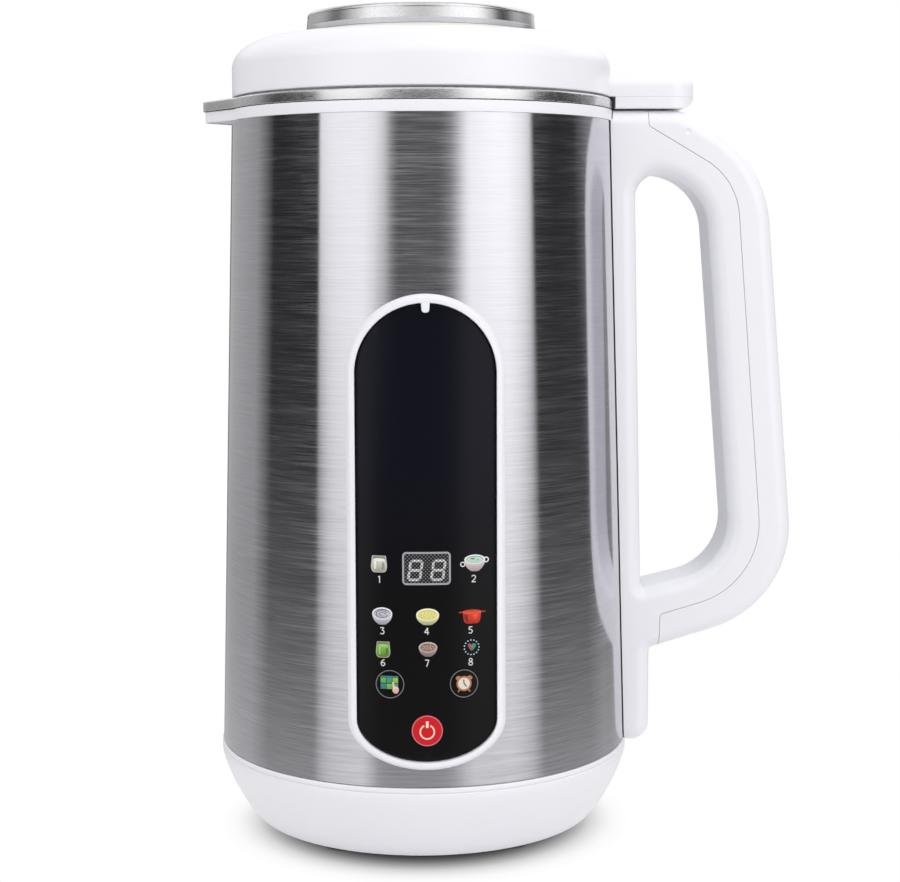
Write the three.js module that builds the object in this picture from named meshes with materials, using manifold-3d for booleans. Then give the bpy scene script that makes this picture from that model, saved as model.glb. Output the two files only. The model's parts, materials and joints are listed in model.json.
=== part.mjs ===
// Soy milk maker: a heated pot with grinding blades in a steel body, a loop handle and a lift-off lid.
// Millimetres, +Z up. The origin is on the body's axis in the plane of the feet.
// +X points to the handle, -X to the pouring lip, and -Y to the control panel.
import * as THREE from 'three';
import { mergeVertices } from 'three/addons/utils/BufferGeometryUtils.js';
import Module from 'manifold-3d';

const wasm = await Module();
wasm.setup();

// Fits and drawing steps
const fitGap = 0.3;
const cutOverrun = 4;
const roundSides = 36;
const innerSides = 20;
const smallSides = 10;
const cornerSteps = 3;
const arcStep = Math.PI / 12;
const mergeTolerance = 1e-5;
const pointTolerance = 0.03;

// Base shell and feet
const footStand = 1.3;
const footRadius = 6.5;
const footThickness = 2.6;
const footCircleShare = 0.8707;
const footAngle = 32;
const baseHeight = 25.4;
const baseRadius = 69.6;
const baseBottomShare = 0.8333;
const baseBandHeight = 3.3;
const baseCurveExponent = 1.6;
const baseCurveSteps = 5;
const baseInnerSteps = 2;
const baseWall = 2.4;
const baseFloor = 5.5;
const spigotHeight = 7;
const spigotWall = 4;

// Bottom cover and its screws
const coverMargin = 1.2;
const coverThickness = 2.4;
const coverLedge = 8;
const ventCount = 10;
const ventWidth = 3;
const ventInnerRadius = 11;
const ventMargin = 11.8;
const bottomScrewInset = 3.8;
const bottomScrewRadius = 1.5;
const bottomScrewHeadRadius = 2.8;
const bottomScrewHeadHeight = 1.1;
const bottomScrewCount = 3;

// Steel outer shell
const shellSetback = 0.4;
const shellTaper = 5.9;
const shellWall = 0.6;

// Motor bay, from the base spigot up to the pot
const frameShare = 0.672;
const frameWall = 2.5;
const frameFlangeThickness = 2.5;
const frameLedge = 3;
const frameWindowCount = 4;
const frameWindowWidth = 34;
const frameWindowMargin = 14;
const lowerBracketRise = 7;
const bracketThickness = 3;
const statorHeight = 26;
const statorShares = [0.68, 0.61];
const statorBoreShare = 0.72;
const statorCorner = 8;
const coilInnerShare = 0.76;
const coilOuterShare = 0.98;
const coilHeight = 4.6;
const upperBracketRise = 5.7;
const postRadius = 3;
const postPlaceShares = [0.8, 0.74];
const thermostatHeight = 4;
const thermostatRadius = 8;
const heaterRise = 7.7;
const heaterThickness = 7;
const heaterShare = 0.77;
const heaterBore = 13;
const bracketVentRadius = 6;
const bracketVentInset = 10.7;
const bracketVentCount = 4;

// Shaft, bearings, armature, commutator, brushes and fan
const shaftRadius = 3;
const shaftTail = 13;
const bearingOuterRadius = 6.2;
const bearingHeight = 6;
const sleeveWall = 2.2;
const sleeveWaistRadius = 4.2;
const housingFlangeRadius = 14;
const housingFlangeThickness = 2.4;
const sealHeight = 3.4;
const sealRecess = 3.8;
const armatureGap = 0.8;
const armatureSlotCount = 8;
const armatureSlotWidth = 2.4;
const armatureSlotDepth = 5;
const armatureOverhang = 2.6;
const windingShare = 0.78;
const commutatorShare = 0.51;
const commutatorHeight = 9;
const commutatorGap = 0.9;
const commutatorStand = 1.7;
const brushLength = 8;
const brushWidth = 5;
const brushHeight = 5;
const fanShare = 0.71;
const fanPlate = 1.4;
const fanBladeHeight = 6.2;
const fanBladeThickness = 1.4;
const fanBladeCount = 7;
const fanHubRadius = 8;
const fanDrop = 2;

// Blades in the pot
const hubStand = 1.9;
const threadRadius = 2.4;
const bladeHubMargin = 1.6;
const bladeThickness = 1.2;
const bladeReach = 24;
const bladeRootWidth = 9;
const bladeTipWidth = 5;
const bladeAngle = 24;
const nutRadius = 5;
const nutHeight = 4.2;
const nutSides = 6;

// Inner pot with its rolled rim and pouring lip
const potDepth = 132.5;
const potSetback = 8.7;
const potWall = 0.8;
const potCorner = 10;
const potFlare = 2.2;
const rimHeight = 3.3;
const collarHeight = 3.1;
const collarProud = 0.6;
const collarSkirtDrop = 7.5;
const collarSkirtWall = 2;
const lipCornerReach = 10.6;
const lipRootHalfWidth = 20;
const lipTipRadius = 7;
const lipCollarSetback = 0.7;

// Lid
const lidGap = 0.7;
const lidSetback = 0.9;
const lidWallHeight = 9.3;
const lidShoulderWidth = 16.1;
const lidShoulderHeight = 10.5;
const lidShoulderSteps = 4;
const lidWall = 2.2;
const crownRise = 1;
const crownWidth = 8.8;
const capHeight = 6.9;
const capWall = 0.8;
const capEdge = 1.4;
const capSeatDrop = 2;
const innerLidFlange = 2.2;
const innerLidSkirtGap = 1.8;
const innerLidWall = 1.8;
const innerLidDepth = 14.5;
const innerLidRib = 1.1;
const sealBand = 5;
const sealLift = 2.2;
const lidSealGap = 0.3;
const lidVentCount = 6;
const lidVentRadius = 1.8;
const lidVentInset = 18;
const probeRadius = 1.6;
const probeHeadRadius = 3.4;
const probeHeadHeight = 2;
const probeLength = 13;
const probeInset = 26;

// Tab over the handle
const tabOverhang = 3.9;
const tabHalfWidth = 12.6;
const tabCornerRadius = 9;
const tabUpperHeight = 7.6;
const tabLowerHeight = 3.6;
const tabEdge = 3.4;
const tabRootGap = 0.5;
const tabWall = 2;
const plugLength = 8;
const plugWidth = 12.6;
const plugDepth = 3.8;
const plugStandOut = 6.3;
const socketWall = 1.4;
const socketHeight = 11.5;

// Handle, as an outline in the XZ plane. Heights are above the shell's bottom edge or below the
// handle's top. Reaches are counted outwards from the strip that lies against the shell.
const handleDepth = 27;
const handleEdge = 5;
const handleWall = 2.4;
const handleTopDrop = 0.8;
const stripDrop = 1.8;
const stripStandOut = 7.8;
const cableRoom = 0.74;
const cableTopRoom = 1.73;
const stripCornerMargin = 1;
const armBottomRise = 30.2;
const armLength = 50.1;
const armCornerRise = 45.5;
const armCornerRadius = 36.4;
const armPocketRadius = 1.5;
const gripLean = 12.5;
const shoulderDrop = 16.4;
const shoulderRadius = 39.7;
const shoulderLength = 27.7;
const handleTopRadius = 12;
const holeBottomRise = 50.9;
const holeBottomRadius = 1.2;
const gripLowWidth = 22.4;
const holeLowRise = 58.3;
const holeLowRadius = 20;
const gripHighWidth = 20.3;
const holeHighDrop = 22.9;
const holeHighRadius = 19;
const holeTopDrop = 19.6;
const holeTopRadius = 7.5;
const seamTopSetback = 2.1;
const seamTopDrop = 4.8;
const seamSmallRadius = 1.2;
const seamHighInset = 10.2;
const seamHighDrop = 22.3;
const seamHighRadius = 23;
const seamLowInset = 11.8;
const seamLowRise = 52.8;
const seamLowRadius = 28;
const seamEndStandOut = 3.2;
const seamEndRise = 42.6;
const seamFootStandOut = 1.9;

// Handle screws, coupler socket and its cable
const handleScrewRadius = 1.7;
const handleScrewHeadRadius = 3.4;
const handleScrewHeadHeight = 2;
const handleScrewLength = 5.4;
const handleBossRadius = 3.6;
const upperScrewDrop = 27;
const lowerScrewRise = 22;
const cableRadius = 1.5;
const cableSide = 6.5;
const cableEntryRise = 38;
const cableInset = 9.5;
const cableHole = 2.2;
const cableSlotHeight = 18;
const cableSides = 8;
const cableBend = 12;
const cableRunPoints = 5;
const cableSteps = 36;

// Control panel
const panelHalfWidth = 21.9;
const panelSeatGap = 0.7;
const panelHeight = 142;
const panelLowerRadius = 13.2;
const frameBand = 2.75;
const frameProud = 2;
const frameInnerBand = 1.2;
const frameInset = 2.4;
const panelProud = 0.5;
const panelThickness = 2.2;
const notchHalfWidth = 1.55;
const notchDepth = 2.8;
const keyRise = 32.7;
const keySpread = 11.5;
const keyRadius = 4.55;
const powerKeyRise = 18.1;
const powerKeyRadius = 4.9;
const keyProud = 0.6;
const keyStemRadius = 2;
const keyTravel = 0.5;
const keyStemGap = 0.2;
const switchSize = 6;
const switchHeight = 3.4;
const switchGap = 0.5;
const boardGap = 1;
const boardThickness = 1.6;
const boardSideGap = 1.4;
const boardSeatGap = 1.5;
const boardHeight = 64;
const boardPostRadius = 2;
const boardPostInset = 6;
const displayRise = 69;
const displayWidth = 14.4;
const displayHeight = 10.4;
const displayGap = 0.5;

// Power inlet at the back, and the power board in the base
const inletSeatGap = 2.5;
const inletHalfWidth = 15.5;
const inletHalfHeight = 12;
const inletCorner = 3;
const inletLip = 2;
const inletProud = 2.2;
const inletDepth = 16.5;
const inletWall = 2;
const inletCavityHalfWidth = 12;
const inletCavityHalfHeight = 8.4;
const inletPinSpread = 7;
const inletPinThickness = 2;
const inletPinHeight = 4;
const inletPinLength = 12;
const inletPinOffset = 2.2;
const powerBoardMargin = 14.6;
const powerBoardHole = 19;
const powerBoardRise = 3.5;
const powerBoardPostInset = 5;
const powerBoardPostCount = 4;
const relayWidth = 18;
const relayDepth = 14;
const relayHeight = 13;
const capacitorRadius = 7;
const capacitorHeight = 12;

// Heights, stacked from the floor up
const baseBottomZ = footStand;
const baseTopZ = baseBottomZ + baseHeight;
const baseCurveTopZ = baseTopZ - baseBandHeight;
const baseFloorTopZ = baseBottomZ + baseFloor;
const coverTopZ = baseBottomZ + coverThickness;
const spigotTopZ = baseTopZ + spigotHeight;
const shellBottomZ = baseTopZ + fitGap;
const powerBoardZ = baseFloorTopZ + powerBoardRise + fitGap;
const powerBoardTopZ = powerBoardZ + boardThickness;
const panelBottomZ = spigotTopZ + frameInnerBand + panelSeatGap;
const panelTopZ = panelBottomZ + panelHeight;
const frameBottomZ = spigotTopZ + fitGap;
const frameFlangeTopZ = frameBottomZ + frameFlangeThickness;
const boardZ = frameFlangeTopZ + boardSeatGap;
const inletZ = frameFlangeTopZ + inletSeatGap + inletHalfHeight;
const lowerBracketZ = frameBottomZ + lowerBracketRise;
const lowerBracketTopZ = lowerBracketZ + bracketThickness;
const lowerBearingZ = lowerBracketZ + bracketThickness / 2 + fitGap;
const lowerBearingTopZ = lowerBearingZ + bracketThickness;
const commutatorZ = lowerBearingTopZ + commutatorStand;
const commutatorTopZ = commutatorZ + commutatorHeight;
const armatureBottomZ = commutatorTopZ + commutatorGap;
const statorBottomZ = armatureBottomZ + armatureOverhang;
const statorTopZ = statorBottomZ + statorHeight;
const frameTopZ = statorTopZ + upperBracketRise;
const upperBracketZ = frameTopZ + fitGap;
const upperBracketTopZ = upperBracketZ + bracketThickness;
const heaterBottomZ = upperBracketTopZ + heaterRise;
const heaterTopZ = heaterBottomZ + heaterThickness;
const potBottomZ = heaterTopZ + fitGap;
const potFloorZ = potBottomZ + potWall;
const housingFlangeZ = potFloorZ + fitGap;
const housingTopZ = housingFlangeZ + housingFlangeThickness + sealRecess;
const bladeZ = housingTopZ + hubStand;
const upperBladeZ = bladeZ + bladeThickness + fitGap;
const nutZ = upperBladeZ + bladeThickness + fitGap;
const rimTopZ = potBottomZ + potDepth;
const rimBottomZ = rimTopZ - rimHeight;
const collarTopZ = rimBottomZ - fitGap;
const collarBottomZ = collarTopZ - collarHeight;
const shellTopZ = collarBottomZ - fitGap;
const shellHeight = shellTopZ - shellBottomZ;
const lidBottomZ = rimTopZ + lidGap;
const shoulderBottomZ = lidBottomZ + lidWallHeight;
const shoulderTopZ = shoulderBottomZ + lidShoulderHeight;
const capBottomZ = shoulderTopZ + crownRise;
const capTopZ = capBottomZ + capHeight;
const innerLidZ = rimTopZ + fitGap;
const innerLidBottomZ = innerLidZ - innerLidDepth;
const tabTopZ = lidBottomZ + tabUpperHeight;
const tabSeamTopZ = lidBottomZ - fitGap;
const tabBottomZ = tabSeamTopZ - tabLowerHeight;
const handleTopZ = tabBottomZ - handleTopDrop;

// Radii and reaches that follow from the ones above
const baseBottomRadius = baseRadius * baseBottomShare;
const footCircleRadius = baseBottomRadius * footCircleShare;
const coverRadius = footCircleRadius - footRadius - coverMargin;
const powerBoardRadius = baseRadius - powerBoardMargin;
const powerBoardMiddle = (powerBoardHole + powerBoardRadius) / 2;
const shellBottomRadius = baseRadius - shellSetback;
const shellTopRadius = shellBottomRadius - shellTaper;
const frameRadius = shellBottomRadius * frameShare;
const bayRadius = frameRadius - frameWall;
const statorHalfWidth = bayRadius * statorShares[0];
const statorHalfDepth = bayRadius * statorShares[1];
const statorBore = statorHalfDepth * statorBoreShare;
const armatureRadius = statorBore - armatureGap;
const commutatorRadius = armatureRadius * commutatorShare;
const shaftBore = shaftRadius + fitGap;
const bladeHubRadius = nutRadius + bladeHubMargin;
const sleeveRadius = bearingOuterRadius + fitGap + sleeveWall;
const potRadius = shellTopRadius - potSetback;
const potInnerRadius = potRadius - potWall;
const heaterRadius = potRadius * heaterShare;
const collarRadius = shellTopRadius + collarProud;
const rimRadius = collarRadius;
const lidRadius = rimRadius - lidSetback;
const capRadius = lidRadius - lidShoulderWidth - crownWidth;
const plugPlace = collarRadius + plugStandOut;
const stripReach = shellBottomRadius + stripStandOut;
const armCornerReach = stripReach + armLength;
const shoulderReach = armCornerReach - gripLean;
const handleTopReach = shoulderReach - shoulderLength;
const tabReach = handleTopReach + tabOverhang;
const boardHalfWidth = panelHalfWidth - boardSideGap;

function shellRadiusAt(z) {
  return shellBottomRadius + (shellTopRadius - shellBottomRadius) * (z - shellBottomZ) / shellHeight;
}

// Turns a three.js geometry into a closed solid; triangles that merging made empty are dropped.
function toSolid(geometry) {
  const plain = geometry.clone();
  plain.deleteAttribute('normal');
  plain.deleteAttribute('uv');
  const merged = mergeVertices(plain, mergeTolerance);
  const index = merged.index.array;
  const kept = [];
  for (let i = 0; i < index.length; i += 3) {
    const [a, b, c] = [index[i], index[i + 1], index[i + 2]];
    if (a !== b && b !== c && a !== c) kept.push(a, b, c);
  }
  const vertProperties = new Float32Array(merged.attributes.position.array);
  const triVerts = new Uint32Array(kept);
  const solid = new wasm.Manifold(new wasm.Mesh({ numProp: 3, vertProperties, triVerts }));
  if (solid.volume() > 0) return solid;
  for (let i = 0; i < triVerts.length; i += 3) {
    [triVerts[i + 1], triVerts[i + 2]] = [triVerts[i + 2], triVerts[i + 1]];
  }
  return new wasm.Manifold(new wasm.Mesh({ numProp: 3, vertProperties, triVerts }));
}

function toGeometry(solid) {
  const mesh = solid.getMesh();
  const geometry = new THREE.BufferGeometry();
  const positions = new Float32Array(mesh.numVert * 3);
  for (let i = 0; i < mesh.numVert; i += 1) {
    for (let k = 0; k < 3; k += 1) positions[i * 3 + k] = mesh.vertProperties[i * mesh.numProp + k];
  }
  geometry.setAttribute('position', new THREE.BufferAttribute(positions, 3));
  geometry.setIndex(new THREE.BufferAttribute(new Uint32Array(mesh.triVerts), 1));
  geometry.computeVertexNormals();
  return geometry;
}

function join(solids) {
  return solids.reduce((whole, next) => whole.add(next));
}

function cut(solid, cutters) {
  return cutters.reduce((rest, cutter) => rest.subtract(cutter), solid);
}

// A solid of revolution about Z from [radius, height] points.
function revolve(points, sides = roundSides) {
  const profile = points.map(([r, z]) => new THREE.Vector2(r, z));
  const first = profile[0];
  const last = profile[profile.length - 1];
  const onAxis = first.x === 0 && last.x === 0;
  if (!onAxis) profile.push(first.clone());
  const geometry = new THREE.LatheGeometry(profile, sides);
  geometry.rotateX(Math.PI / 2);
  return toSolid(geometry);
}

function disc(radius, z0, z1, sides = roundSides) {
  return revolve([[0, z0], [radius, z0], [radius, z1], [0, z1]], sides);
}

function ring(innerRadius, outerRadius, z0, z1, sides = roundSides) {
  return revolve([[innerRadius, z0], [outerRadius, z0], [outerRadius, z1], [innerRadius, z1]], sides);
}

function block(x0, x1, y0, y1, z0, z1) {
  const geometry = new THREE.BoxGeometry(x1 - x0, y1 - y0, z1 - z0);
  geometry.translate((x0 + x1) / 2, (y0 + y1) / 2, (z0 + z1) / 2);
  return toSolid(geometry);
}

function post(x, y, radius, z0, z1, sides = smallSides) {
  const geometry = new THREE.CylinderGeometry(radius, radius, z1 - z0, sides);
  geometry.rotateX(Math.PI / 2);
  geometry.translate(x, y, (z0 + z1) / 2);
  return toSolid(geometry);
}

// A round bar along X or Y.
function bar(axis, start, end, a, z, radius, sides = smallSides) {
  const geometry = new THREE.CylinderGeometry(radius, radius, Math.abs(end - start), sides);
  if (axis === 'x') geometry.rotateZ(Math.PI / 2);
  const middle = (start + end) / 2;
  geometry.translate(axis === 'x' ? middle : a, axis === 'x' ? a : middle, z);
  return toSolid(geometry);
}

function turned(solid, degrees) {
  return solid.rotate([0, 0, degrees]);
}

function around(count, make) {
  return Array.from({ length: count }, (unused, i) => turned(make(), i * 360 / count));
}

// The points of a closed outline whose corners are rounded. A corner is [x, y, radius], listed
// anticlockwise. inset moves every side inwards, and a corner's radius follows it. Where two
// corners would need more than their side's length, both radii come down to fit it.
function roundedOutline(corners, inset = 0) {
  const count = corners.length;
  const at = (i) => new THREE.Vector2(...corners[(i + count) % count].slice(0, 2));
  const directions = corners.map((corner, i) => at(i + 1).sub(at(i)).normalize());
  const moved = corners.map((corner, i) => {
    const before = directions[(i - 1 + count) % count];
    const after = directions[i];
    const turn = before.cross(after);
    const normals = [before, after].map((d) => new THREE.Vector2(-d.y, d.x).multiplyScalar(inset));
    const across = normals[1].clone().sub(normals[0]);
    const along = turn === 0 ? 0 : across.cross(after) / turn;
    const place = at(i).add(normals[0]).add(before.clone().multiplyScalar(along));
    const radius = Math.max(corner[2] - Math.sign(turn) * inset, 0);
    const angle = Math.abs(Math.atan2(turn, before.dot(after)));
    return { place, before, after, turn, radius, angle, reach: radius * Math.tan(angle / 2) };
  });
  const room = moved.map((corner, i) => {
    const next = moved[(i + 1) % count];
    return corner.place.distanceTo(next.place) / Math.max(corner.reach + next.reach, pointTolerance);
  });
  const points = [];
  const push = (p) => {
    const last = points[points.length - 1];
    if (!last || last.distanceTo(p) > pointTolerance) points.push(p);
  };
  moved.forEach((corner, i) => {
    const { place, before, turn, angle } = corner;
    const fit = Math.min(1, room[i], room[(i - 1 + count) % count]);
    const radius = corner.radius * fit;
    if (radius === 0 || angle === 0) {
      push(place);
    } else {
      const reach = corner.reach * fit;
      const start = place.clone().sub(before.clone().multiplyScalar(reach));
      const side = Math.sign(turn);
      const centre = start.clone().add(new THREE.Vector2(-before.y, before.x).multiplyScalar(side * radius));
      const steps = Math.max(1, Math.ceil(angle / arcStep));
      for (let k = 0; k <= steps; k += 1) {
        push(start.clone().rotateAround(centre, side * angle * k / steps));
      }
    }
  });
  if (points[0].distanceTo(points[points.length - 1]) <= pointTolerance) points.pop();
  return points;
}

// A prism of an outline drawn in XY, from z0 to z1, with its edges rounded over by edge.
function slab(outline, z0, z1, edge = 0, holes = [], edgeSteps = 2) {
  const shape = new THREE.Shape(outline);
  shape.holes = holes.map((hole) => new THREE.Path(hole));
  const geometry = new THREE.ExtrudeGeometry(shape, {
    depth: z1 - z0 - 2 * edge,
    bevelEnabled: edge > 0,
    bevelThickness: edge,
    bevelSize: edge,
    bevelOffset: -edge,
    bevelSegments: edgeSteps,
    steps: 1,
  });
  geometry.translate(0, 0, z0 + edge);
  return toSolid(geometry);
}

// The same, drawn in XZ and reaching from y0 to y1.
function upright(outline, y0, y1, edge = 0, holes = [], edgeSteps = 2) {
  return slab(outline, -y1, -y0, edge, holes, edgeSteps).rotate([90, 0, 0]);
}

// The layer of space that lies between two offsets from the steel shell's outside.
function shellBand(outerOffset, innerOffset, z0 = baseBottomZ, z1 = rimTopZ) {
  return revolve([
    [shellRadiusAt(z0) + innerOffset, z0],
    [shellRadiusAt(z0) + outerOffset, z0],
    [shellRadiusAt(z1) + outerOffset, z1],
    [shellRadiusAt(z1) + innerOffset, z1],
  ]);
}

function material(color, roughness, metalness) {
  return new THREE.MeshStandardMaterial({ color, roughness, metalness });
}

const whitePlastic = material(0xeeeef2, 0.35, 0);
const brushedSteel = material(0xb4b4b8, 0.34, 1);
const potSteel = material(0xc2c0bc, 0.28, 1);
const blackGloss = material(0x101014, 0.12, 0);
const darkPlastic = material(0x2a2a2d, 0.5, 0);
const greyRubber = material(0x55565a, 0.8, 0);
const sealSilicone = material(0xdedcd6, 0.6, 0);
const castAluminium = material(0x9a9c9f, 0.5, 1);
const copper = material(0xb4713c, 0.4, 1);
const boardGreen = material(0x1f5a35, 0.55, 0);
const boltSteel = material(0x8d9094, 0.4, 1);
const redKey = material(0xd42430, 0.25, 0);
const carbon = material(0x2c2c2e, 0.7, 0);
const displayGrey = material(0x3a3b40, 0.3, 0);

const model = new THREE.Group();

function place(name, solid, look) {
  const mesh = new THREE.Mesh(toGeometry(solid), look);
  mesh.name = name;
  model.add(mesh);
}

// The base's rounded side: it stands upright at the top and turns in towards the floor.
function baseCurve(topRadius, bottomRadius, topZ, bottomZ, steps) {
  const points = [];
  for (let i = 0; i < steps; i += 1) {
    const t = Math.PI / 2 * i / steps;
    const across = Math.cos(t) ** baseCurveExponent;
    const down = Math.sin(t) ** baseCurveExponent;
    points.push([bottomRadius + (topRadius - bottomRadius) * across, topZ - (topZ - bottomZ) * down]);
  }
  points.push([bottomRadius, bottomZ]);
  return points;
}

const footPlaces = [
  ['foot_front_left', 270 - footAngle],
  ['foot_front_right', 270 + footAngle],
  ['foot_rear_left', 90 + footAngle],
  ['foot_rear_right', 90 - footAngle],
];

function polar(radius, degrees) {
  const angle = THREE.MathUtils.degToRad(degrees);
  return [radius * Math.cos(angle), radius * Math.sin(angle)];
}

function bottomScrewPlaces() {
  return Array.from({ length: bottomScrewCount }, (unused, i) => {
    return polar(coverRadius - bottomScrewInset, 90 + i * 360 / bottomScrewCount);
  });
}

function makeBase() {
  const spigotOuter = shellRadiusAt(spigotTopZ) - shellWall - fitGap;
  const spigotInner = spigotOuter - spigotWall;
  const outside = baseCurve(baseRadius, baseBottomRadius, baseCurveTopZ, baseBottomZ, baseCurveSteps);
  const inside = baseCurve(
    baseRadius - baseWall, baseBottomRadius - baseWall, baseCurveTopZ, baseFloorTopZ, baseInnerSteps);
  const coverOpening = coverRadius + fitGap;
  let shell = revolve([
    [coverOpening, baseBottomZ],
    ...outside.reverse(),
    [baseRadius, baseTopZ],
    [spigotOuter, baseTopZ],
    [spigotOuter, spigotTopZ],
    [spigotInner, spigotTopZ],
    [spigotInner, baseTopZ - baseWall],
    ...inside,
    [coverRadius - coverLedge, baseFloorTopZ],
    [coverRadius - coverLedge, coverTopZ + fitGap],
    [coverOpening, coverTopZ + fitGap],
  ]);
  const recessTop = footThickness + fitGap;
  const recesses = footPlaces.map(([name, angle]) => {
    const [x, y] = polar(footCircleRadius, angle);
    return post(x, y, footRadius + fitGap, baseBottomZ - cutOverrun, recessTop, 2 * smallSides);
  });
  const screwHoles = bottomScrewPlaces().map(([x, y]) => {
    return post(x, y, bottomScrewRadius + fitGap, baseBottomZ, baseFloorTopZ + cutOverrun);
  });
  const boardPosts = Array.from({ length: powerBoardPostCount }, (unused, i) => {
    const [x, y] = polar(powerBoardRadius - powerBoardPostInset, (i + 1 / 2) * 360 / powerBoardPostCount);
    return post(x, y, postRadius, baseFloorTopZ - baseWall / 2, powerBoardZ - fitGap);
  });
  shell = join([shell, ...boardPosts]);
  place('base_shell', cut(shell, [...recesses, ...screwHoles]), whitePlastic);

  for (const [name, angle] of footPlaces) {
    const [x, y] = polar(footCircleRadius, angle);
    place(name, post(x, y, footRadius, 0, footThickness, 2 * smallSides), greyRubber);
  }

  const vents = around(ventCount, () => block(
    ventInnerRadius, coverRadius - ventMargin,
    -ventWidth / 2, ventWidth / 2,
    baseBottomZ - cutOverrun, coverTopZ + cutOverrun));
  const headRecess = bottomScrewHeadHeight + fitGap;
  const coverHoles = bottomScrewPlaces().flatMap(([x, y]) => [
    post(x, y, bottomScrewRadius + fitGap, baseBottomZ - cutOverrun, coverTopZ + cutOverrun),
    post(x, y, bottomScrewHeadRadius + fitGap, baseBottomZ - cutOverrun, baseBottomZ + headRecess),
  ]);
  const cover = disc(coverRadius, baseBottomZ, coverTopZ);
  place('bottom_cover', cut(cover, [...vents, ...coverHoles]), darkPlastic);

  bottomScrewPlaces().forEach(([x, y], i) => {
    const head = post(x, y, bottomScrewHeadRadius, baseBottomZ, baseBottomZ + bottomScrewHeadHeight);
    const shank = post(x, y, bottomScrewRadius, baseBottomZ + bottomScrewHeadHeight / 2, baseFloorTopZ);
    place(`bottom_screw_${i + 1}`, head.add(shank), boltSteel);
  });
}

function makePowerBoard() {
  const board = ring(powerBoardHole, powerBoardRadius, powerBoardZ, powerBoardTopZ, innerSides);
  place('power_board', board, boardGreen);
  const partZ = powerBoardTopZ + fitGap;
  const relay = block(
    -powerBoardMiddle - relayWidth / 2, -powerBoardMiddle + relayWidth / 2,
    -relayDepth / 2, relayDepth / 2,
    partZ, partZ + relayHeight);
  place('power_relay', relay, darkPlastic);
  const capacitorTopZ = partZ + capacitorHeight;
  const capacitor = post(0, powerBoardMiddle, capacitorRadius, partZ, capacitorTopZ, 2 * smallSides);
  place('filter_capacitor', capacitor, displayGrey);
}

function makeInnerFrame() {
  const flangeRadius = shellRadiusAt(frameBottomZ) - frameInset - 2 * fitGap;
  const ledgeTop = lowerBracketZ - fitGap;
  let frame = revolve([
    [bayRadius - frameLedge, frameBottomZ],
    [flangeRadius, frameBottomZ],
    [flangeRadius, frameFlangeTopZ],
    [frameRadius, frameFlangeTopZ],
    [frameRadius, frameTopZ],
    [bayRadius, frameTopZ],
    [bayRadius, ledgeTop],
    [bayRadius - frameLedge, ledgeTop],
  ], innerSides);
  const windowBottom = frameBottomZ + frameWindowMargin;
  const windowTop = frameTopZ - frameWindowMargin;
  const windows = around(frameWindowCount, () => block(
    0, frameRadius + cutOverrun,
    -frameWindowWidth / 2, frameWindowWidth / 2,
    windowBottom, windowTop));
  const cableNotch = block(
    frameRadius + frameWall, flangeRadius + cutOverrun,
    cableSide - cableHole, cableSide + cableHole,
    frameBottomZ - cutOverrun, frameFlangeTopZ + cutOverrun);
  frame = cut(frame, [...windows, cableNotch]);
  place('inner_frame', frame, darkPlastic);
}

function motorPosts(z0, z1) {
  const x = statorHalfWidth * postPlaceShares[0];
  const y = statorHalfDepth * postPlaceShares[1];
  const corners = [[-1, -1], [1, -1], [1, 1], [-1, 1]];
  return corners.map(([sideX, sideY]) => post(sideX * x, sideY * y, postRadius, z0, z1));
}

// A block on one side of the axis, from near to far along X, as a brush and its seat lie.
function brushBlock(side, near, far, z0, z1) {
  const width = brushWidth / 2;
  return block(Math.min(side * near, side * far), Math.max(side * near, side * far), -width, width, z0, z1);
}

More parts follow.
